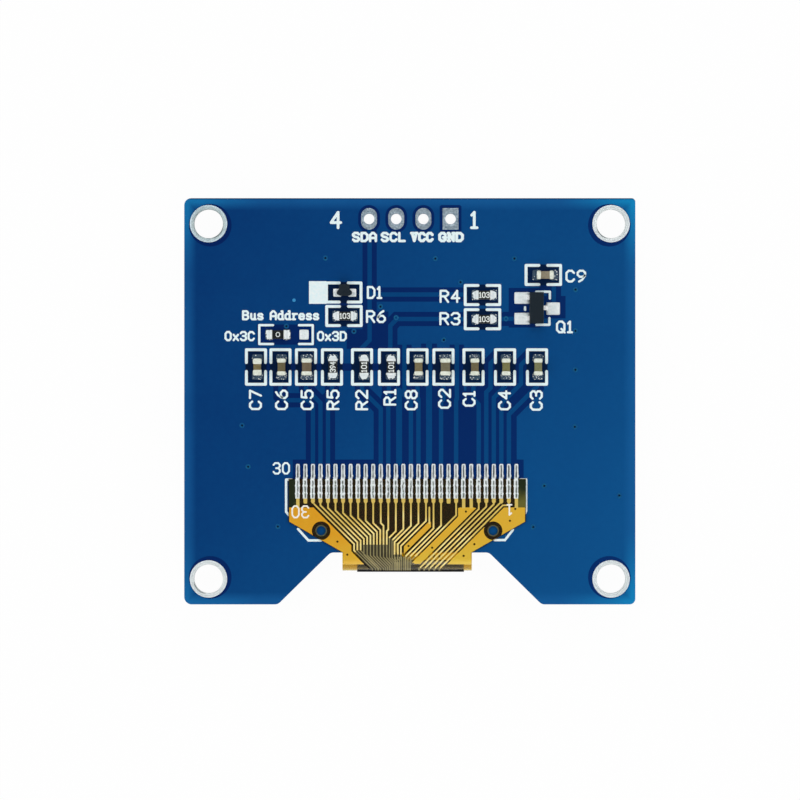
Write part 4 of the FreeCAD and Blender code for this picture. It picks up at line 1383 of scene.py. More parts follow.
def chip_ends(chip, width, cover, rounding, depth):
    """The two tinned ends of a chip, wrapped round its body."""
    ends = []
    for side in (-1, 1):
        near = side * (chip.length / 2 - cover)
        far = side * chip.length / 2
        corner = (min(near, far), -width / 2, chip.base)
        ends.append(block(corner, (max(near, far), width / 2, chip.top), rounding, 3))
    return roughened(joined(ends), depth)


class OLED_OT_make_capacitors(bpy.types.Operator):
    """Models the ceramic capacitors with their wrapped ends."""

    bl_idname = "oled_module.make_capacitors"
    bl_label = "Make the capacitors"

    end_cover = 0.43
    long_cover = 0.57
    end_rounding = 0.14
    body_inset = 0.06
    slimming = 0.95
    end_relief = 0.012
    end_setback = 0.1
    body_rounding = 0.05

    tones = {
        "capacitor_c7": (shade(132, 120, 80), shade(104, 92, 52)),
        "capacitor_c6": (shade(112, 104, 72), shade(90, 80, 48)),
        "capacitor_c5": (shade(120, 106, 82), shade(98, 84, 60)),
        "capacitor_c8": (shade(132, 120, 86), shade(106, 96, 62)),
        "capacitor_c2": (shade(122, 117, 94), shade(100, 94, 68)),
        "capacitor_c1": (shade(118, 108, 78), shade(96, 86, 54)),
        "capacitor_c4": (shade(130, 128, 82), shade(106, 104, 58)),
        "capacitor_c3": (shade(130, 132, 92), shade(108, 108, 68)),
        "capacitor_c9": (shade(152, 143, 122), shade(124, 114, 92)),
    }

    def execute(self, context):
        metal = context.scene.oled_metal
        tin = solder_finish("chip_tin", metal.cap_shadow, metal.cap_cream, 0.45, 0.015, 0.05)
        inset = self.body_inset
        for stem, (pale, deep) in self.tones.items():
            chip = seat(stem)
            width = chip.width * self.slimming
            cover = self.long_cover if stem == "capacitor_c7" else self.end_cover
            ends = chip_ends(chip, width, cover, self.end_rounding, self.end_relief)
            settle(turned(ends, chip), stem + "_ends", "tinned_ends", tin, stem + "_terminals")
            reach = (chip.length / 2 - inset - self.end_setback, width / 2 - inset)
            body = centred(*reach, chip.base + inset, chip.top - inset, self.body_rounding, 3)
            clay = ceramic_finish(stem + "_clay", pale, deep, 0.45)
            settle(turned(body, chip), stem + "_ceramic", "tan_ceramic", clay, stem + "_body")
        return {"FINISHED"}


RESISTOR_CODES = {
    "resistor_r1": "101", "resistor_r2": "101", "resistor_r3": "103",
    "resistor_r4": "103", "resistor_r5": "394", "resistor_r6": "103", "address_link": "0",
}


class OLED_OT_make_resistors(bpy.types.Operator):
    """Models the chip resistors, with black glaze and plain value digits."""

    bl_idname = "oled_module.make_resistors"
    bl_label = "Make the resistors"

    end_cover = 0.29
    end_rounding = 0.09
    end_relief = 0.01
    body_inset = 0.03
    body_rounding = 0.03
    glaze_height = 0.03
    glaze_depth = 0.05
    glaze_over_end = 0.02
    glaze_rounding = 0.025
    code_size = (1.0, 0.56)
    zero_size = (0.4, 0.46)
    digit_stroke = 0.095
    digit_sink = -0.002
    digit_lift = 0.008

    def execute(self, context):
        metal = context.scene.oled_metal
        tin = solder_finish("resistor_tin", metal.tin_dull, metal.tin_bright, 0.4, 0.012, 0.05)
        alumina = ceramic_finish("alumina", shade(226, 224, 214), shade(188, 186, 176), 0.6)
        inset = self.body_inset
        glazes = []
        digits = []
        for stem, code in RESISTOR_CODES.items():
            chip = seat(stem)
            ends = chip_ends(chip, chip.width, self.end_cover, self.end_rounding, self.end_relief)
            settle(turned(ends, chip), stem + "_ends", "tinned_ends", tin, stem + "_terminals")
            half_width = chip.width / 2 - inset
            half_length = chip.length / 2 - inset
            low, high = chip.base + inset, chip.top - inset
            body = centred(half_length, half_width, low, high, self.body_rounding, 2)
            settle(turned(body, chip), stem + "_alumina", "white_ceramic", alumina, stem + "_body")
            half_length = chip.length / 2 - self.end_cover + self.glaze_over_end
            top = chip.top + self.glaze_height * 0.5
            low = chip.top - self.glaze_depth
            glazes.append(turned(centred(half_length, half_width, low, top, self.glaze_rounding, 2), chip))
            digits.append(self.digits(stem, code, chip, top))
        black = moulding_finish("black_glaze", shade(16, 22, 26), shade(34, 38, 38), 0.35)
        settle(joined(glazes), "resistor_glaze", "dark_glaze", black, "resistor_coats")
        ink = plain_finish("digit_ink", shade(246, 250, 248), shade(216, 224, 220), 0.5, 5.0)
        settle(joined(digits), "resistor_digits", "dark_glaze", ink, smooth=None)
        return {"FINISHED"}

    def digits(self, stem, code, chip, top):
        """The value code on a resistor's glaze; a link has one small zero."""
        marks = Layer(over(top))
        size = self.code_size if len(code) > 1 else self.zero_size
        stroke = self.digit_stroke if len(code) > 1 else self.digit_stroke * 0.75
        turn = 90 if chip.upright else 0
        letter(marks, code, chip.middle, size, stroke, turn, self.digit_sink, self.digit_lift)
        return marks.piece(stem + "_digits")


def lump(crown, seed, fullness, ripple):
    """Height of a solder lump: a full crown that falls at the rim, with its own ripples."""

    def height(u, v):
        fall = (1 - abs(u) ** fullness) * (1 - abs(v) ** (fullness * 3))
        wave = noise.noise(Vector((u * 1.4 + seed * 7.1, v * 3.2 + seed * 3.7, seed)))
        return crown * fall * (1 + ripple * wave)

    return height


class OLED_OT_solder_chips(bpy.types.Operator):
    """Lays the lands under the chips and the solder that climbs their ends."""

    bl_idname = "oled_module.solder_chips"
    bl_label = "Solder the chips"

    land_over = 0.08
    land_out = 0.4
    land_in = 0.35
    land_crown = 0.03
    fillet_in = 0.04
    fillet_reach = 0.34
    fillet_share = 0.6
    narrowing = 0.42
    spare_step = 1.61
    spare_size = (0.88, 0.94)

    def execute(self, context):
        metal = context.scene.oled_metal
        lands = Layer(on_board)
        dark_fillets = Layer(on_board)
        bright_fillets = Layer(on_board)
        for order, stem in enumerate(sorted(CHIPS)):
            chip = seat(stem)
            ceramic = stem.startswith("capacitor")
            fillets = dark_fillets if ceramic else bright_fillets
            climb = (chip.top - chip.base) * self.fillet_share
            for side in (-1, 1):
                span = side * (chip.length / 2 - self.land_in), side * (chip.length / 2 + self.land_out)
                flat = lump(LAND_RISE + self.land_crown, order + side * 0.3, 8, 0.25)
                self.mound(lands, chip, span, chip.width / 2 + self.land_over, flat, 0.0, 0.0)
                span = side * (chip.length / 2 - self.fillet_in), side * (chip.length / 2 + self.fillet_reach)
                rise = self.concave(climb, side, order)
                narrowing = 0.0 if ceramic or stem == "address_link" else self.narrowing * side
                self.mound(fillets, chip, span, chip.width / 2, rise, LAND_RISE, narrowing)
        link = CHIPS["address_link"]
        last_land = link.middle.x + link.length / 2 + (self.land_out - self.land_in) / 2
        spare = Vector((last_land + self.spare_step, link.middle.y))
        half = Vector(self.spare_size) / 2
        bright_fillets.mound(spare - half, spare + half, 0.0, lump(0.1, 4.2, 8, 0.3), 8, 12, 0.12)
        bright = solder_finish("resistor_solder", metal.tin_dull, metal.tin_bright, 0.3, 0.03, 0.05)
        dark = shaded_solder_finish(metal)
        # The lands and the capacitors' fillets wear solder that is painted dark as shade, with painted
        # glints.
        lands.settle("chip_land_tin", "tinned_lands", dark, "chip_lands")
        dark_fillets.settle("capacitor_fillets", "solder", dark, "chip_solder")
        bright_fillets.settle("resistor_fillets", "solder", bright)
        return {"FINISHED"}

    def mound(self, layer, chip, span, reach, height, base, narrowing):
        """A lump by a chip, modelled along X over a span and turned with the chip."""
        low, high = (min(span), -reach), (max(span), reach)
        taper = (narrowing, 0.0)
        rise = height
        if chip.upright:
            low, high = low[::-1], high[::-1]
            taper = (0.0, narrowing)
            rise = lambda u, v: height(v, u)
        start = (chip.middle.x + low[0], chip.middle.y + low[1])
        end = (chip.middle.x + high[0], chip.middle.y + high[1])
        layer.mound(start, end, base, rise, 10, 10, 0.2, taper)

    def concave(self, climb, side, seed):
        """Height of solder that hangs from a chip's end down to its land."""

        def height(u, v):
            out = (side * u + 1) / 2
            wave = noise.noise(Vector((u * 2 + seed * 5.3, v * 2, seed * 1.7)))
            return climb * (1 - out) ** 2.2 * (1 - 0.35 * v ** 4) * (1 + 0.25 * wave) + 0.02

        return height


class OLED_OT_dress_leaded(bpy.types.Operator):
    """Dresses the diode and the transistor, and floods their lands with solder."""

    bl_idname = "oled_module.dress_leaded"
    bl_label = "Dress the diode and transistor"

    # Lands as low and high corners, each kind with the crown of its solder
    transistor_lands = (
        ((9.775, 9.11), (11.25, 10.22)), ((9.775, 7.18), (11.25, 8.29)), ((12.75, 8.08), (14.05, 9.26)),
    )
    transistor_crown = 0.17
    diode_lands = (((-7.17, 9.78), (-6.4, 10.53)), ((-5.77, 9.78), (-5.0, 10.53)))
    diode_crown = 0.12
    diode_outline = (
        (-6.6, 10.94), (-6.62, 10.48), (-6.82, 10.26), (-6.82, 10.02), (-6.46, 9.86), (-5.7, 9.86),
        (-5.41, 10.02), (-5.41, 10.26), (-5.64, 10.48), (-5.66, 10.94),
    )
    moulding_edge = 0.04

    def execute(self, context):
        metal = context.scene.oled_metal
        black = moulding_finish("black_moulding", shade(16, 28, 37), shade(25, 38, 48), 0.5)
        black.dress(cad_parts["transistor_q1_body"])
        low, high = node_box("diode_d1_body")
        moulding = Layer(over(low.z))
        moulding.plate(self.diode_outline, 0.0, high.z - low.z)
        body = bevelled(moulding.piece("diode_moulding"), self.moulding_edge, 2)
        settle(body, "diode_moulding", "black_moulding", black, "diode_d1_body")
        leads = solder_finish("lead_tin", metal.tin_bright, metal.tin_bright, 0.45, 0.01, 0.0)
        for node in ("diode_d1_leads", "transistor_q1_leads"):
            leads.dress(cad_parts[node])
        pools = Layer(on_board)
        for order, (low, high) in enumerate(self.transistor_lands + self.diode_lands):
            crown = self.transistor_crown if order < len(self.transistor_lands) else self.diode_crown
            pools.mound(low, high, 0.0, lump(crown, 11 + order * 1.7, 8, 0.35), 16, 14, 0.08)
        pool = solder_finish("pool_solder", metal.tin_dull, metal.tin_bright, 0.34, 0.03, 0.05)
        pools.settle("solder_pools", "solder", pool)
        return {"FINISHED"}


# The flex tail

FILM_END = FILM_HIGH.y
STUB_LOW_Y = -9.4
TAPER_LOW_Y = -9.56
FOLD_EDGE_Y = -15.66
TAIL_END = FOLD_Y - FOLD_OUTER * math.pi - 1.3

# Contacts 2 to 12 lean right into a bundle of upright traces, contacts 13 to 17 lean left into it
FIRST_LEFT = 2
LAST_LEANING_RIGHT = 12
LAST_LEFT = 17
BUNDLE_LEFT_X = -5.21
BUNDLE_PITCH = 0.3056
FIRST_ELBOW_Y = -9.49
ELBOW_STEP = -0.238
LOWEST_ELBOW_Y = -11.38
STRAIGHT_ELBOW_Y = -12.0
LEANING_LEFT = {
    13: (-10.83, -1.9), 14: (-11.35, -1.66), 15: (-11.74, -1.43), 16: (-12.23, -1.12),
    17: (-12.7, -0.83),
}
# Where the upright traces start to fan out to the right, and how far they go
OUTER_FAN_Y = -13.95
INNER_FAN_Y = -14.35
FAN_STEP = -0.036
FAN_LAST_X = -0.76
FAN_PITCH = 0.165
# Levels at which the traces pass under the grey cover
COVER_Y = -13.4
COVER_LEVELS = {
    2: -14.08, 3: -13.93, 4: -13.93, 12: -13.4, 13: -12.8, 14: -12.98, 15: -14.33, 16: -14.33,
    17: -14.33,
}
MIDDLE_OFFSETS = {18: (-14.1, -0.42), 19: (-14.54, -0.2), 21: (-14.99, 0.02)}
MIDDLE_COVER_Y = -14.5
FIRST_RIGHT = 24
RIGHT_OFFSET = -16.525
RIGHT_OFFSET_STEP = -0.476
OUTER_RIGHT = 28
OUTER_RIGHT_Y = -9.73
STUB_ONLY = (0, 1, 20, 22, 23, 29)
BLUNT_STUBS = (1, 20)
WIDE_STUBS = (0, 22, 23, 29)
WIDE_STUB_LOW_Y = -10.0
INNER_BAND = [(1.74, -11.3), (1.97, -11.26), (1.97, -11.75), (-0.55, -14.27), (-0.55, -13.57)]
FREE_TRACE = [(1.83, -9.93), (1.83, -11.4)]
# Grey cover by the fold, row by row as level, left and right
GREY_COVER = [
    (-12.82, -2.0, -1.55), (-13.39, -2.0, -1.5), (-13.4, -4.45, -1.45), (-14.1, -4.45, -1.42),
    (-14.14, -5.1, -1.3), (-14.6, -4.72, -0.5), (-15.1, -4.25, -0.05), (-15.5, -3.87, 0.4),
    (-15.8, -3.55, 0.9),
]
INNER_FILL = [(-13.25, -1.43, -1.12), (-14.33, -1.43, -1.12)]
# Dark gap between the left copper field and the first trace
FIELD_GAP = [(-5.4, -13.3), (-5.4, -13.98), (-3.76, -15.64)]
# Copper field that runs down to the left from the pads of contacts 22 and 23
OUTER_BAND = [(-9.97, 4.53), (-10.72, 4.53), (-11.27, 4.2), (-15.2, 0.35)]
OUTER_BAND_SLANT = 16.19
# Cloudy film at both ends of the contacts, as low and high corners
FILM_MARGINS = (((-11.3, -9.94), (-10.36, -7.3)), ((9.9, -9.97), (10.86, -7.3)))
# The black strip shows over the fold from this turn, in degrees, to the next
STRIP_TURNS = (76.0, 168.0)
# Fine lines that merge into the trace bundle: leftmost and rightmost X, pitch, top and first level
MERGED_LINES = (-1.36, 0.0, 0.2)
MERGED_TOP_Y = -14.55
MERGED_START_Y = -14.6
POUR_VIAS = [
    (-6.77, -13.12), (-5.84, -14.34), (5.25, -10.31), (2.09, -13.69), (-0.12, -13.53),
    (9.86, -10.06), (9.36, -11.17), (6.04, -13.36), (5.03, -14.45),
]
LOCATING_PLACES = ((-8.29, -12.1), (7.79, -12.1))
# End numbers on the film: text, middle, length and height, stroke
FLEX_LABELS = [
    ("30", (-10.23, -10.33), (1.68, 1.22), 0.15),
    ("1", (9.31, -10.15), (0.56, 1.1), 0.15),
]
# How deep thin work on the film is sunk into it
SUNK = -0.004
# Pieces in which a trace goes round the fold
FOLD_STEPS = 14


def fold_run(x, y):
    """The rest of a trace from a place by the fold, round it and to the glass."""
    start = along_film(y)
    return [(x, start + (TAIL_END - start) * step / FOLD_STEPS) for step in range(1, FOLD_STEPS + 1)]


def left_trace(index):
    """A trace that leaves its contact, leans into the left bundle, drops and fans to the fold."""
    x = contact_x(index)
    if index in LEANING_LEFT:
        offset, bundle = LEANING_LEFT[index]
        elbow, join = x + offset, bundle + offset
    else:
        bundle = BUNDLE_LEFT_X + BUNDLE_PITCH * (index - FIRST_LEFT)
        elbow = max(FIRST_ELBOW_Y + ELBOW_STEP * (index - FIRST_LEFT), LOWEST_ELBOW_Y)
        if index == LAST_LEANING_RIGHT:
            elbow = STRAIGHT_ELBOW_Y
        join = elbow - abs(bundle - x)
    fan = OUTER_FAN_Y if index < 5 else INNER_FAN_Y + FAN_STEP * (index - 5)
    foot = min(bundle + fan - FOLD_EDGE_Y, FAN_LAST_X - FAN_PITCH * (LAST_LEFT - index))
    foot = max(foot, bundle + 0.05)
    return [(x, TAPER_LOW_Y), (x, elbow), (bundle, join), (bundle, fan), (foot, fan - (foot - bundle))]


def middle_trace(index):
    """A trace between the two golden bands, down to the middle of the fold."""
    x = contact_x(index)
    offset, foot = MIDDLE_OFFSETS[index]
    return [(x, TAPER_LOW_Y), (x, x + offset), (foot, foot + offset)]


def right_trace(index):
    """A trace that leans from the right to the fold."""
    x = contact_x(index)
    offset = RIGHT_OFFSET + RIGHT_OFFSET_STEP * (index - FIRST_RIGHT)
    foot = (FOLD_EDGE_Y - offset, FOLD_EDGE_Y)
    if index == OUTER_RIGHT:
        corner = (OUTER_RIGHT_Y - offset, OUTER_RIGHT_Y)
        return [(x, TAPER_LOW_Y + 0.1), (x, OUTER_RIGHT_Y), corner, foot]
    return [(x, TAPER_LOW_Y), (x, x + offset), foot]


def laid(points):
    """A line on the flex with the part beyond the fold's start measured along the film."""
    line = [points[0]]
    for here, there in zip(points, points[1:]):
        steps = 1
        if min(here[1], there[1]) < FOLD_Y:
            steps = max(2, int(abs(here[1] - there[1]) / 0.12))
        for step in range(1, steps + 1):
            share = step / steps
            y = here[1] + (there[1] - here[1]) * share
            line.append((here[0] + (there[0] - here[0]) * share, along_film(y)))
    return line


def parted(points, level):
    """A line's points above a level and those below it, with the crossing in both."""
    for place in range(1, len(points)):
        if points[place][1] < level:
            here, there = points[place - 1], points[place]
            share = (here[1] - level) / (here[1] - there[1])
            crossing = (here[0] + (there[0] - here[0]) * share, level)
            return points[:place] + [crossing], [crossing] + points[place:]
    return points, []


def cover_rows(levels):
    """A sheet's rows sampled finely enough to follow the fold, measured along the film."""
    rows = []
    for here, there in zip(levels, levels[1:]):
        steps = max(1, round((here[0] - there[0]) / 0.1))
        for step in range(steps):
            y, left, right = Vector(here).lerp(Vector(there), step / steps)
            rows.append((along_film(y), left, right))
    rows.append((along_film(levels[-1][0]), *levels[-1][1:]))
    return rows


class OLED_OT_trace_flex(bpy.types.Operator):
    """Draws the flex's fine traces, stubs, inner band and marks on its film."""

    bl_idname = "oled_module.trace_flex"
    bl_label = "Trace the flex"

    stub_width = 0.36
    via_radius = 0.1
    tail_width = 0.085
    cover_height = 0.004
    gap_width = 0.13
    gap_height = 0.036
    covered_step = 0.0008
    # Inner and outer radius of the painted glint ring at each locating hole
    rim = (0.43, 0.54)
    glint_ring_height = 0.008

    def execute(self, context):
        look = context.scene.oled_flex
        high = look.trace_height
        bright = Layer(on_film)
        covered = Layer(on_film)
        covered.lift_step = self.covered_step
        for index in range(FIRST_LEFT, OUTER_RIGHT + 1):
            if index not in STUB_ONLY:
                self.trace(bright, covered, index, look)
        bright.strip(FREE_TRACE, look.trace_width, SUNK, high)
        for index in range(CONTACT_COUNT):
            self.stub(bright, index, look)
        left, right, pitch = MERGED_LINES
        for number in range(round((right - left) / pitch) + 1):
            x = left + pitch * number
            line = [(x, MERGED_TOP_Y)] + fold_run(x, MERGED_START_Y)
            covered.strip(line, self.tail_width, SUNK, high * 0.6, rounded=False)
        bright.settle("flex_traces", "film_copper", trace_finish(look), smooth=None)
        grey = film_copper_finish("covered_copper", look.covered_grey, look.covered_deep, 0.5)
        covered.settle("flex_covered_traces", "film_copper", grey, smooth=None)
        olive = film_copper_finish("grey_cover", look.cover_olive, look.cover_deep, 0.5)
        self.sheet("flex_cover", "amber_film", olive, GREY_COVER)
        self.band(look)
        self.bare(look)
        shaded = film_copper_finish("shaded_copper", shade(138, 118, 44), shade(108, 90, 26), 0.45)
        self.sheet("flex_inner_fill", "film_copper", shaded, INNER_FILL)
        self.marks(look)
        return {"FINISHED"}

    def trace(self, bright, covered, index, look):
        """One trace: bright down to the grey cover or the fold, and muted from there on."""
        width, thin = look.trace_width, self.tail_width
        if index <= LAST_LEFT:
            line, level = left_trace(index), COVER_LEVELS.get(index, COVER_Y)
        elif index in MIDDLE_OFFSETS:
            line, level = middle_trace(index), MIDDLE_COVER_Y
        else:
            line, level, thin = right_trace(index), FOLD_EDGE_Y + 0.01, width
        foot = line[-1]
        upper, lower = parted(line, level)
        bright.strip(laid(upper), width, SUNK, look.trace_height, rounded=False)
        start = laid(lower) if lower else [(foot[0], along_film(foot[1]))]
        covered.strip(start + fold_run(*foot), thin, SUNK, look.trace_height * 0.7, rounded=False)

    def stub(self, layer, index, look):
        """The wide start of a trace below its contact, tapering to the trace."""
        x, high = contact_x(index), look.trace_height
        if index in WIDE_STUBS:
            line = [(x, CONTACTS_LOW.y), (x, WIDE_STUB_LOW_Y)]
            layer.strip(line, self.stub_width * 0.85, SUNK, high, rounded=False)
            return
        half = self.stub_width / 2
        thin = half * 0.8 if index in BLUNT_STUBS else look.trace_width / 2
        outline = [
            (x - thin, TAPER_LOW_Y), (x + thin, TAPER_LOW_Y), (x + half, STUB_LOW_Y),
            (x + half, CONTACTS_LOW.y), (x - half, CONTACTS_LOW.y), (x - half, STUB_LOW_Y),
        ]
        layer.plate(outline, SUNK, high)

    def sheet(self, name, slot, finish, levels):
        """A thin sheet told row by row as level, left and right."""
        sheet = Layer(on_film)
        sheet.apron(cover_rows(levels), SUNK, self.cover_height)
        sheet.settle(name, slot, finish, smooth=None)

    def band(self, look):
        """The inner band, the outer one down to the fold, and their copper."""
        band = Layer(on_film)
        band.plate(INNER_BAND[::-1], SUNK, look.trace_height)
        rows = cover_rows([(y, left, OUTER_BAND_SLANT + y) for y, left in OUTER_BAND])
        band.apron(rows, SUNK, look.trace_height)
        field = field_finish(look)
        band.settle("flex_inner_band", "film_copper", field)
        field.dress(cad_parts["flex_copper"])

    def bare(self, look):
        """Bare film beside the left copper field, and the cloudy margins of the film."""
        gap = Layer(on_film)
        gap.strip(laid(FIELD_GAP), self.gap_width, SUNK, self.gap_height, rounded=False)
        tones = shade(34, 22, 4), shade(20, 12, 2)
        brown = plain_finish("bare_film", *tones, 0.3, 3.0, specular_ior_level=0.1)
        gap.settle("flex_gap", "amber_film", brown, smooth=None)
        margins = Layer(on_film)
        for low, high in FILM_MARGINS:
            margins.plate(rectangle(low, high), -0.002, 0.003)
        margins.settle("flex_margins", "amber_film", margin_finish(look), smooth=None)

    def marks(self, look):
        """Plain end numbers, dark vias and a painted glint ring at each locating hole's edge."""
        ink = Layer(on_film)
        for text, middle, size, stroke in FLEX_LABELS:
            letter(ink, text, middle, size, stroke, 180, 0.0, look.trace_height * 2.2)
        white = plain_finish("flex_ink", shade(255, 255, 248), shade(246, 240, 222), 0.5, 4.0)
        ink.settle("flex_numbers", "amber_film", white, smooth=None)
        dots = Layer(on_film)
        for x, y in POUR_VIAS:
            dots.disc(x, y, self.via_radius, 0.0, look.trace_height * 1.7)
        dark = plain_finish("flex_via", shade(70, 40, 2), shade(44, 24, 0), 0.45, 6.0, specular_ior_level=0.1)
        dots.settle("flex_vias", "film_copper", dark)
        # Painted highlight: a light olive glint ring at each locating hole's edge.
        glint_rings = Layer(on_film)
        for x, y in LOCATING_PLACES:
            glint_rings.ring(x, y, *self.rim, 0.0, self.glint_ring_height, 40)
        olive = plain_finish("hole_edge_glint", shade(86, 92, 66), shade(62, 66, 40), 0.4, 3.0)
        glint_rings.settle("locating_glints", "amber_film", olive)


class OLED_OT_solder_flex(bpy.types.Operator):
    """Solders the flex's contacts to the board's lands, one lumpy bar to each."""

    bl_idname = "oled_module.solder_flex"
    bl_label = "Solder the flex"

    land_half = 0.19
    bar_half = 0.225
    bar_shift = -0.035
    bar_sink = -0.003
    upper_steps = 22
    lower_steps = 34
    upper_crown = 0.09
    joint_crown = 0.14
    lower_crown = 0.07
    furrow = 0.28
    joint_drop = 0.22
    top_drop = 0.05
    knots = ((-7.9, 0.05), (-8.62, 0.05))

    def execute(self, context):
        upper = Layer(on_board)
        lower = Layer(on_film)
        for index in range(CONTACT_COUNT):
            x = contact_x(index)
            upper.bead(self.upper_rows(x, index), 0.0)
            lower.bead(self.lower_rows(x + self.bar_shift, index), self.bar_sink)
        tin = bar_finish(context.scene.oled_metal)
        upper.settle("land_solder", "solder", tin, "flex_lands", "flex_solder", smooth=60)
        lower.settle("contact_solder", "solder", tin, "flex_contacts", smooth=60)
        return {"FINISHED"}

    def wander(self, index, y, salt):
        """A small repeatable drift along a bar, between -1 and 1."""
        return noise.noise(Vector((index * 3.1 + salt, y * 2.6, salt * 0.7)))

    def upper_rows(self, x, index):
        """The bar on the board's land, from its top end to just over the film."""
        top, foot = LANDS_HIGH.y - self.top_drop, FILM_END + 0.01
        steps = self.upper_steps
        for step in range(steps + 1):
            share = step / steps
            y = top + (foot - top) * share
            end = math.sqrt(1 - (1 - min(share * steps / 3, 1.0)) ** 2)
            half = self.land_half * (0.62 + 0.38 * end) + 0.018 * self.wander(index, y, 1.0)
            bulge = 0.055 * max(1 - abs(y - FILM_END - 0.28) / 0.13, 0.0)
            crown = (self.upper_crown + LAND_RISE) * end * (1 + 0.18 * self.wander(index, y, 2.0))
            if step == steps:
                crown = LAND_RISE
            yield y, x - half, x + half + bulge, crown + 0.001, self.furrow * end * min((y - foot) / 0.3, 1.0)

    def lower_rows(self, x, index):
        """The bar on the film's contact, from its fuller joint at the film's end downwards."""
        top, foot = FILM_END + 0.16, CONTACTS_LOW.y
        steps = self.lower_steps
        for step in range(steps + 1):
            share = step / steps
            y = top + (foot - top) * share
            end = math.sqrt(1 - (1 - min(share * steps / 2, 1.0)) ** 2)
            tail = math.sqrt(1 - (1 - min((1 - share) * steps / 2, 1.0)) ** 2)
            half = self.bar_half + 0.014 * self.wander(index, y, 3.0)
            for level, spread in self.knots:
                near = level + 0.08 * self.wander(index, level, 4.0)
                half += spread * max(1 - abs(y - near) / 0.14, 0.0) - spread * 0.25
            joint = max(1 - abs(y - FILM_END - 0.03) / self.joint_drop, 0.0)
            flange = 0.05 * max(1 - abs(y - FILM_END + 0.1) / 0.1, 0.0)
            crown = self.lower_crown + (self.joint_crown - self.lower_crown) * joint
            crown *= min(end, tail) * (1 + 0.2 * self.wander(index, y, 5.0))
            left = x - half * (1 - 0.2 * joint) - flange
            yield y, left, x + half * (1 - 0.1 * joint), crown + 0.002, self.furrow * 0.6 * (1 - joint)


class OLED_OT_dress_flex(bpy.types.Operator):
    """Dresses the film and the strip over the fold."""

    bl_idname = "oled_module.dress_flex"
    bl_label = "Dress the film"

    strip_steps = 16

    def execute(self, context):
        film_finish(context.scene.oled_flex).dress(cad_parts["flex_film"])
        black = plain_finish("black_strip", shade(28, 28, 30), shade(14, 14, 16), 0.5, 2.0)
        low, high = node_box("fold_strip")
        strip = Layer(on_film)
        first, last = (FOLD_Y - FOLD_OUTER * math.radians(turn) for turn in STRIP_TURNS)
        steps = self.strip_steps
        rows = [(first + (last - first) * step / steps, low.x, high.x) for step in range(steps + 1)]
        strip.apron(rows, 0.0, FOLD_Y - FOLD_OUTER - low.y)
        strip.settle("black_strip", "black_strip", black, "fold_strip", smooth=30)
        return {"FINISHED"}


# The display under the board


class OLED_OT_dress_panel(bpy.types.Operator):
    """Dresses the display's glass, polarizer, seal, driver chip and tape."""

    bl_idname = "oled_module.dress_panel"
    bl_label = "Dress the display"

    # Finish: nodes that wear it, pale and deep colour, roughness, grain and relief, then constants
    surfaces = {
        "front_glass": (
            ("front_glass",), shade(222, 238, 232), shade(206, 228, 220), 0.08, 0.2, 0.0005,
            {"transmission_weight": 0.9, "ior": 1.5},
        ),
        "rear_glass": (
            ("rear_glass",), shade(150, 162, 160), shade(120, 132, 132), 0.12, 0.3, 0.0005,
            {"transmission_weight": 0.55, "ior": 1.5},
        ),
        "seal": (("seal_bead",), shade(196, 190, 170), shade(150, 146, 130), 0.35, 1.5, 0.003, {}),
        "polarizer": (
            ("polarizer",), shade(16, 17, 22), shade(8, 9, 13), 0.16, 0.1, 0.0004, {"coat_weight": 0.5},
        ),
        "emitter": (
            ("emitter_layer",), shade(120, 122, 126), shade(84, 86, 92), 0.25, 0.4, 0.003,
            {"metallic": 0.9},
        ),
        "getter": (("getter_sheet",), shade(222, 220, 210), shade(196, 192, 180), 0.8, 1.2, 0.003, {}),
        "silicon": (
            ("driver_chip",), shade(64, 66, 76), shade(40, 42, 52), 0.18, 1.0, 0.003, {"metallic": 0.5},
        ),
        "sealant": (
            ("ledge_sealant",), shade(214, 220, 214), shade(190, 198, 192), 0.2, 1.0, 0.003,
            {"transmission_weight": 0.6},
        ),
        "foam_tape": (
            ("tape_left", "tape_right"), shade(236, 236, 232), shade(206, 206, 200), 0.85, 5.0, 0.02, {},
        ),
    }

    def execute(self, context):
        for name, (nodes, *values, constants) in self.surfaces.items():
            finish = plain_finish(name, *values, **constants)
            for node in nodes:
                finish.dress(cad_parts[node])
        return {"FINISHED"}


# Floor, camera and light


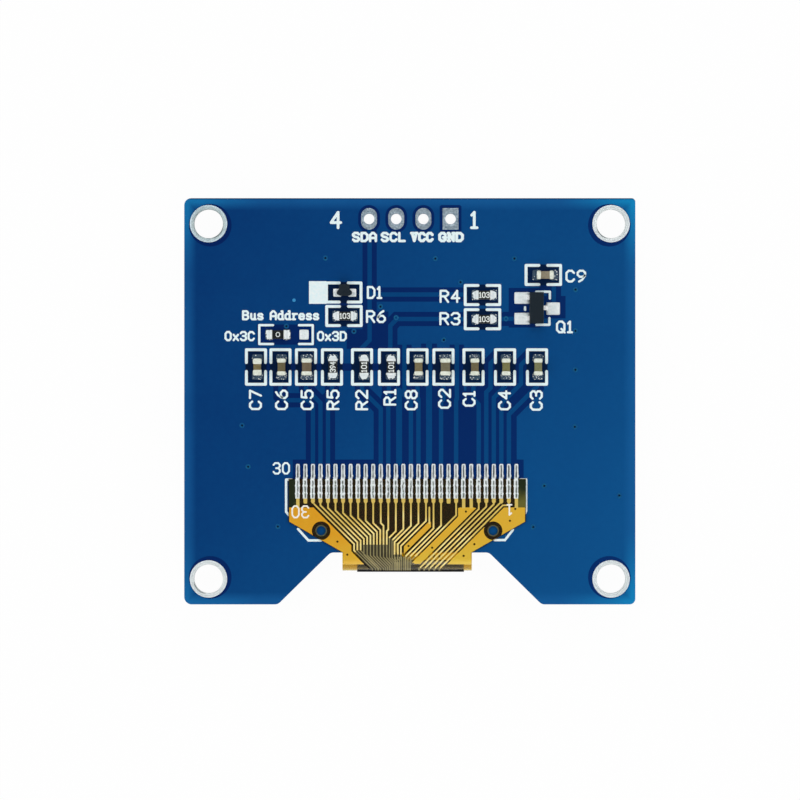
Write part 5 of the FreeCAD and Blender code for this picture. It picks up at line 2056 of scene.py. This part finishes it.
class OLED_OT_set_stage(bpy.types.Operator):
    """Sets the pale floor, the camera straight above and the soft light."""

    bl_idname = "oled_module.set_stage"
    bl_label = "Set the stage"

    floor_size = 4.0
    floor_drop = 0.00002
    floor_glow = 0.97
    floor_white = (0.9, 0.9, 0.9)
    lamp_count = 4
    lamp_rise = 42.0
    sensor = 36.0

    def execute(self, context):
        look = context.scene.oled_stage
        self.floor()
        self.camera(context.scene, look)
        for number in range(self.lamp_count):
            self.lamp(context.scene, look, number * 360.0 / self.lamp_count)
        self.world(context.scene, look)
        context.scene.view_settings.view_transform = "Standard"
        return {"FINISHED"}

    def floor(self):
        """A white floor that glows where it is seen, whether straight, mirrored or through the film."""
        bpy.ops.object.select_all(action="DESELECT")
        bpy.ops.mesh.primitive_plane_add(size=self.floor_size, location=(0, 0, -self.floor_drop))
        floor = bpy.context.active_object
        floor.name = "floor"
        bpy.ops.object.transform_apply(location=True, rotation=True, scale=True)
        material = bpy.data.materials.new("floor_white")
        material.use_nodes = True
        net = Wiring(material.node_tree)
        net.tree.nodes.clear()
        path = net.tree.nodes.new("ShaderNodeLightPath")
        rays = ("Is Camera Ray", "Is Glossy Ray", "Is Transmission Ray")
        straight, mirrored, through = (Tie(net, path.outputs[ray]) for ray in rays)
        settings = {"operation": "ADD", "use_clamp": True}
        seen = net.node("ShaderNodeMath", settings, {0: straight + mirrored, 1: through})
        plain = net.node("ShaderNodeBsdfDiffuse", {}, {"Color": self.floor_white})
        glow = net.node("ShaderNodeEmission", {}, {})
        mixed = {0: seen * self.floor_glow, 1: plain, 2: glow}
        net.show("ShaderNodeOutputMaterial", net.node("ShaderNodeMixShader", {}, mixed))
        floor.data.materials.append(material)

    def camera(self, scene, look):
        eye = bpy.data.cameras.new("camera")
        holder = bpy.data.objects.new("camera", eye)
        scene.collection.objects.link(holder)
        eye.sensor_width = self.sensor
        eye.lens = self.sensor * look.camera_height / (look.frame_width * MM)
        holder.location = (look.centre_x * MM, look.centre_y * MM, BOARD_TOP * MM + look.camera_height)
        scene.camera = holder

    def lamp(self, scene, look, around):
        """A square soft lamp that faces the module from one side, hidden from the camera."""
        light = bpy.data.lights.new("soft_lamp", "AREA")
        light.shape = "SQUARE"
        light.size = look.lamp_size
        light.energy = look.lamp_power
        holder = bpy.data.objects.new("soft_lamp", light)
        scene.collection.objects.link(holder)
        turn, rise = math.radians(around), math.radians(self.lamp_rise)
        way = Vector((math.cos(turn) * math.cos(rise), math.sin(turn) * math.cos(rise), math.sin(rise)))
        holder.location = way * look.lamp_distance
        holder.rotation_mode = "QUATERNION"
        holder.rotation_quaternion = way.to_track_quat("Z", "Y")
        holder.visible_camera = False

    def world(self, scene, look):
        """White at the horizon, dimmer overhead, so that flat gloss keeps its colour from above."""
        scene.world = bpy.data.worlds.new("studio")
        scene.world.use_nodes = True
        net = Wiring(scene.world.node_tree)
        net.tree.nodes.clear()
        place = net.node("ShaderNodeTexCoord", {}, {}, "Generated")
        height = net.node("ShaderNodeSeparateXYZ", {}, {0: place}, "Z")
        span = {"Value": height, "From Min": 0.1, "From Max": 0.7, "To Min": 1.0, "To Max": look.zenith}
        fall = net.node("ShaderNodeMapRange", {"interpolation_type": "SMOOTHSTEP"}, span)
        net.show("ShaderNodeOutputWorld", net.node("ShaderNodeBackground", {}, {"Strength": fall}))


class OLED_PT_module(bpy.types.Panel):
    """The steps that dress the module."""

    bl_idname = "OLED_PT_module"
    bl_label = "OLED module"
    bl_space_type = "VIEW_3D"
    bl_region_type = "UI"
    bl_category = "OLED module"

    def draw(self, context):
        for operator in STEPS:
            self.layout.operator(operator.bl_idname)


STEPS = (
    OLED_OT_set_stage,
    OLED_OT_dress_board,
    OLED_OT_lay_tracks,
    OLED_OT_print_board,
    OLED_OT_place_vias,
    OLED_OT_plate_holes,
    OLED_OT_make_capacitors,
    OLED_OT_make_resistors,
    OLED_OT_solder_chips,
    OLED_OT_dress_leaded,
    OLED_OT_dress_flex,
    OLED_OT_trace_flex,
    OLED_OT_solder_flex,
    OLED_OT_dress_panel,
)
GROUPS = {
    "oled_board": BoardLook,
    "oled_metal": MetalLook,
    "oled_flex": FlexLook,
    "oled_stage": StageLook,
}


def register():
    for kind in (*GROUPS.values(), *STEPS, OLED_PT_module):
        bpy.utils.register_class(kind)
    for name, kind in GROUPS.items():
        setattr(bpy.types.Scene, name, bpy.props.PointerProperty(type=kind))


def unregister():
    for name in GROUPS:
        delattr(bpy.types.Scene, name)
    for kind in (OLED_PT_module, *reversed(STEPS), *reversed(GROUPS.values())):
        bpy.utils.unregister_class(kind)


def main():
    """Registers the add-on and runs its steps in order."""
    register()
    for operator in STEPS:
        group, name = operator.bl_idname.split(".")
        getattr(getattr(bpy.ops, group), name)()


if __name__ == "__main__":
    main()
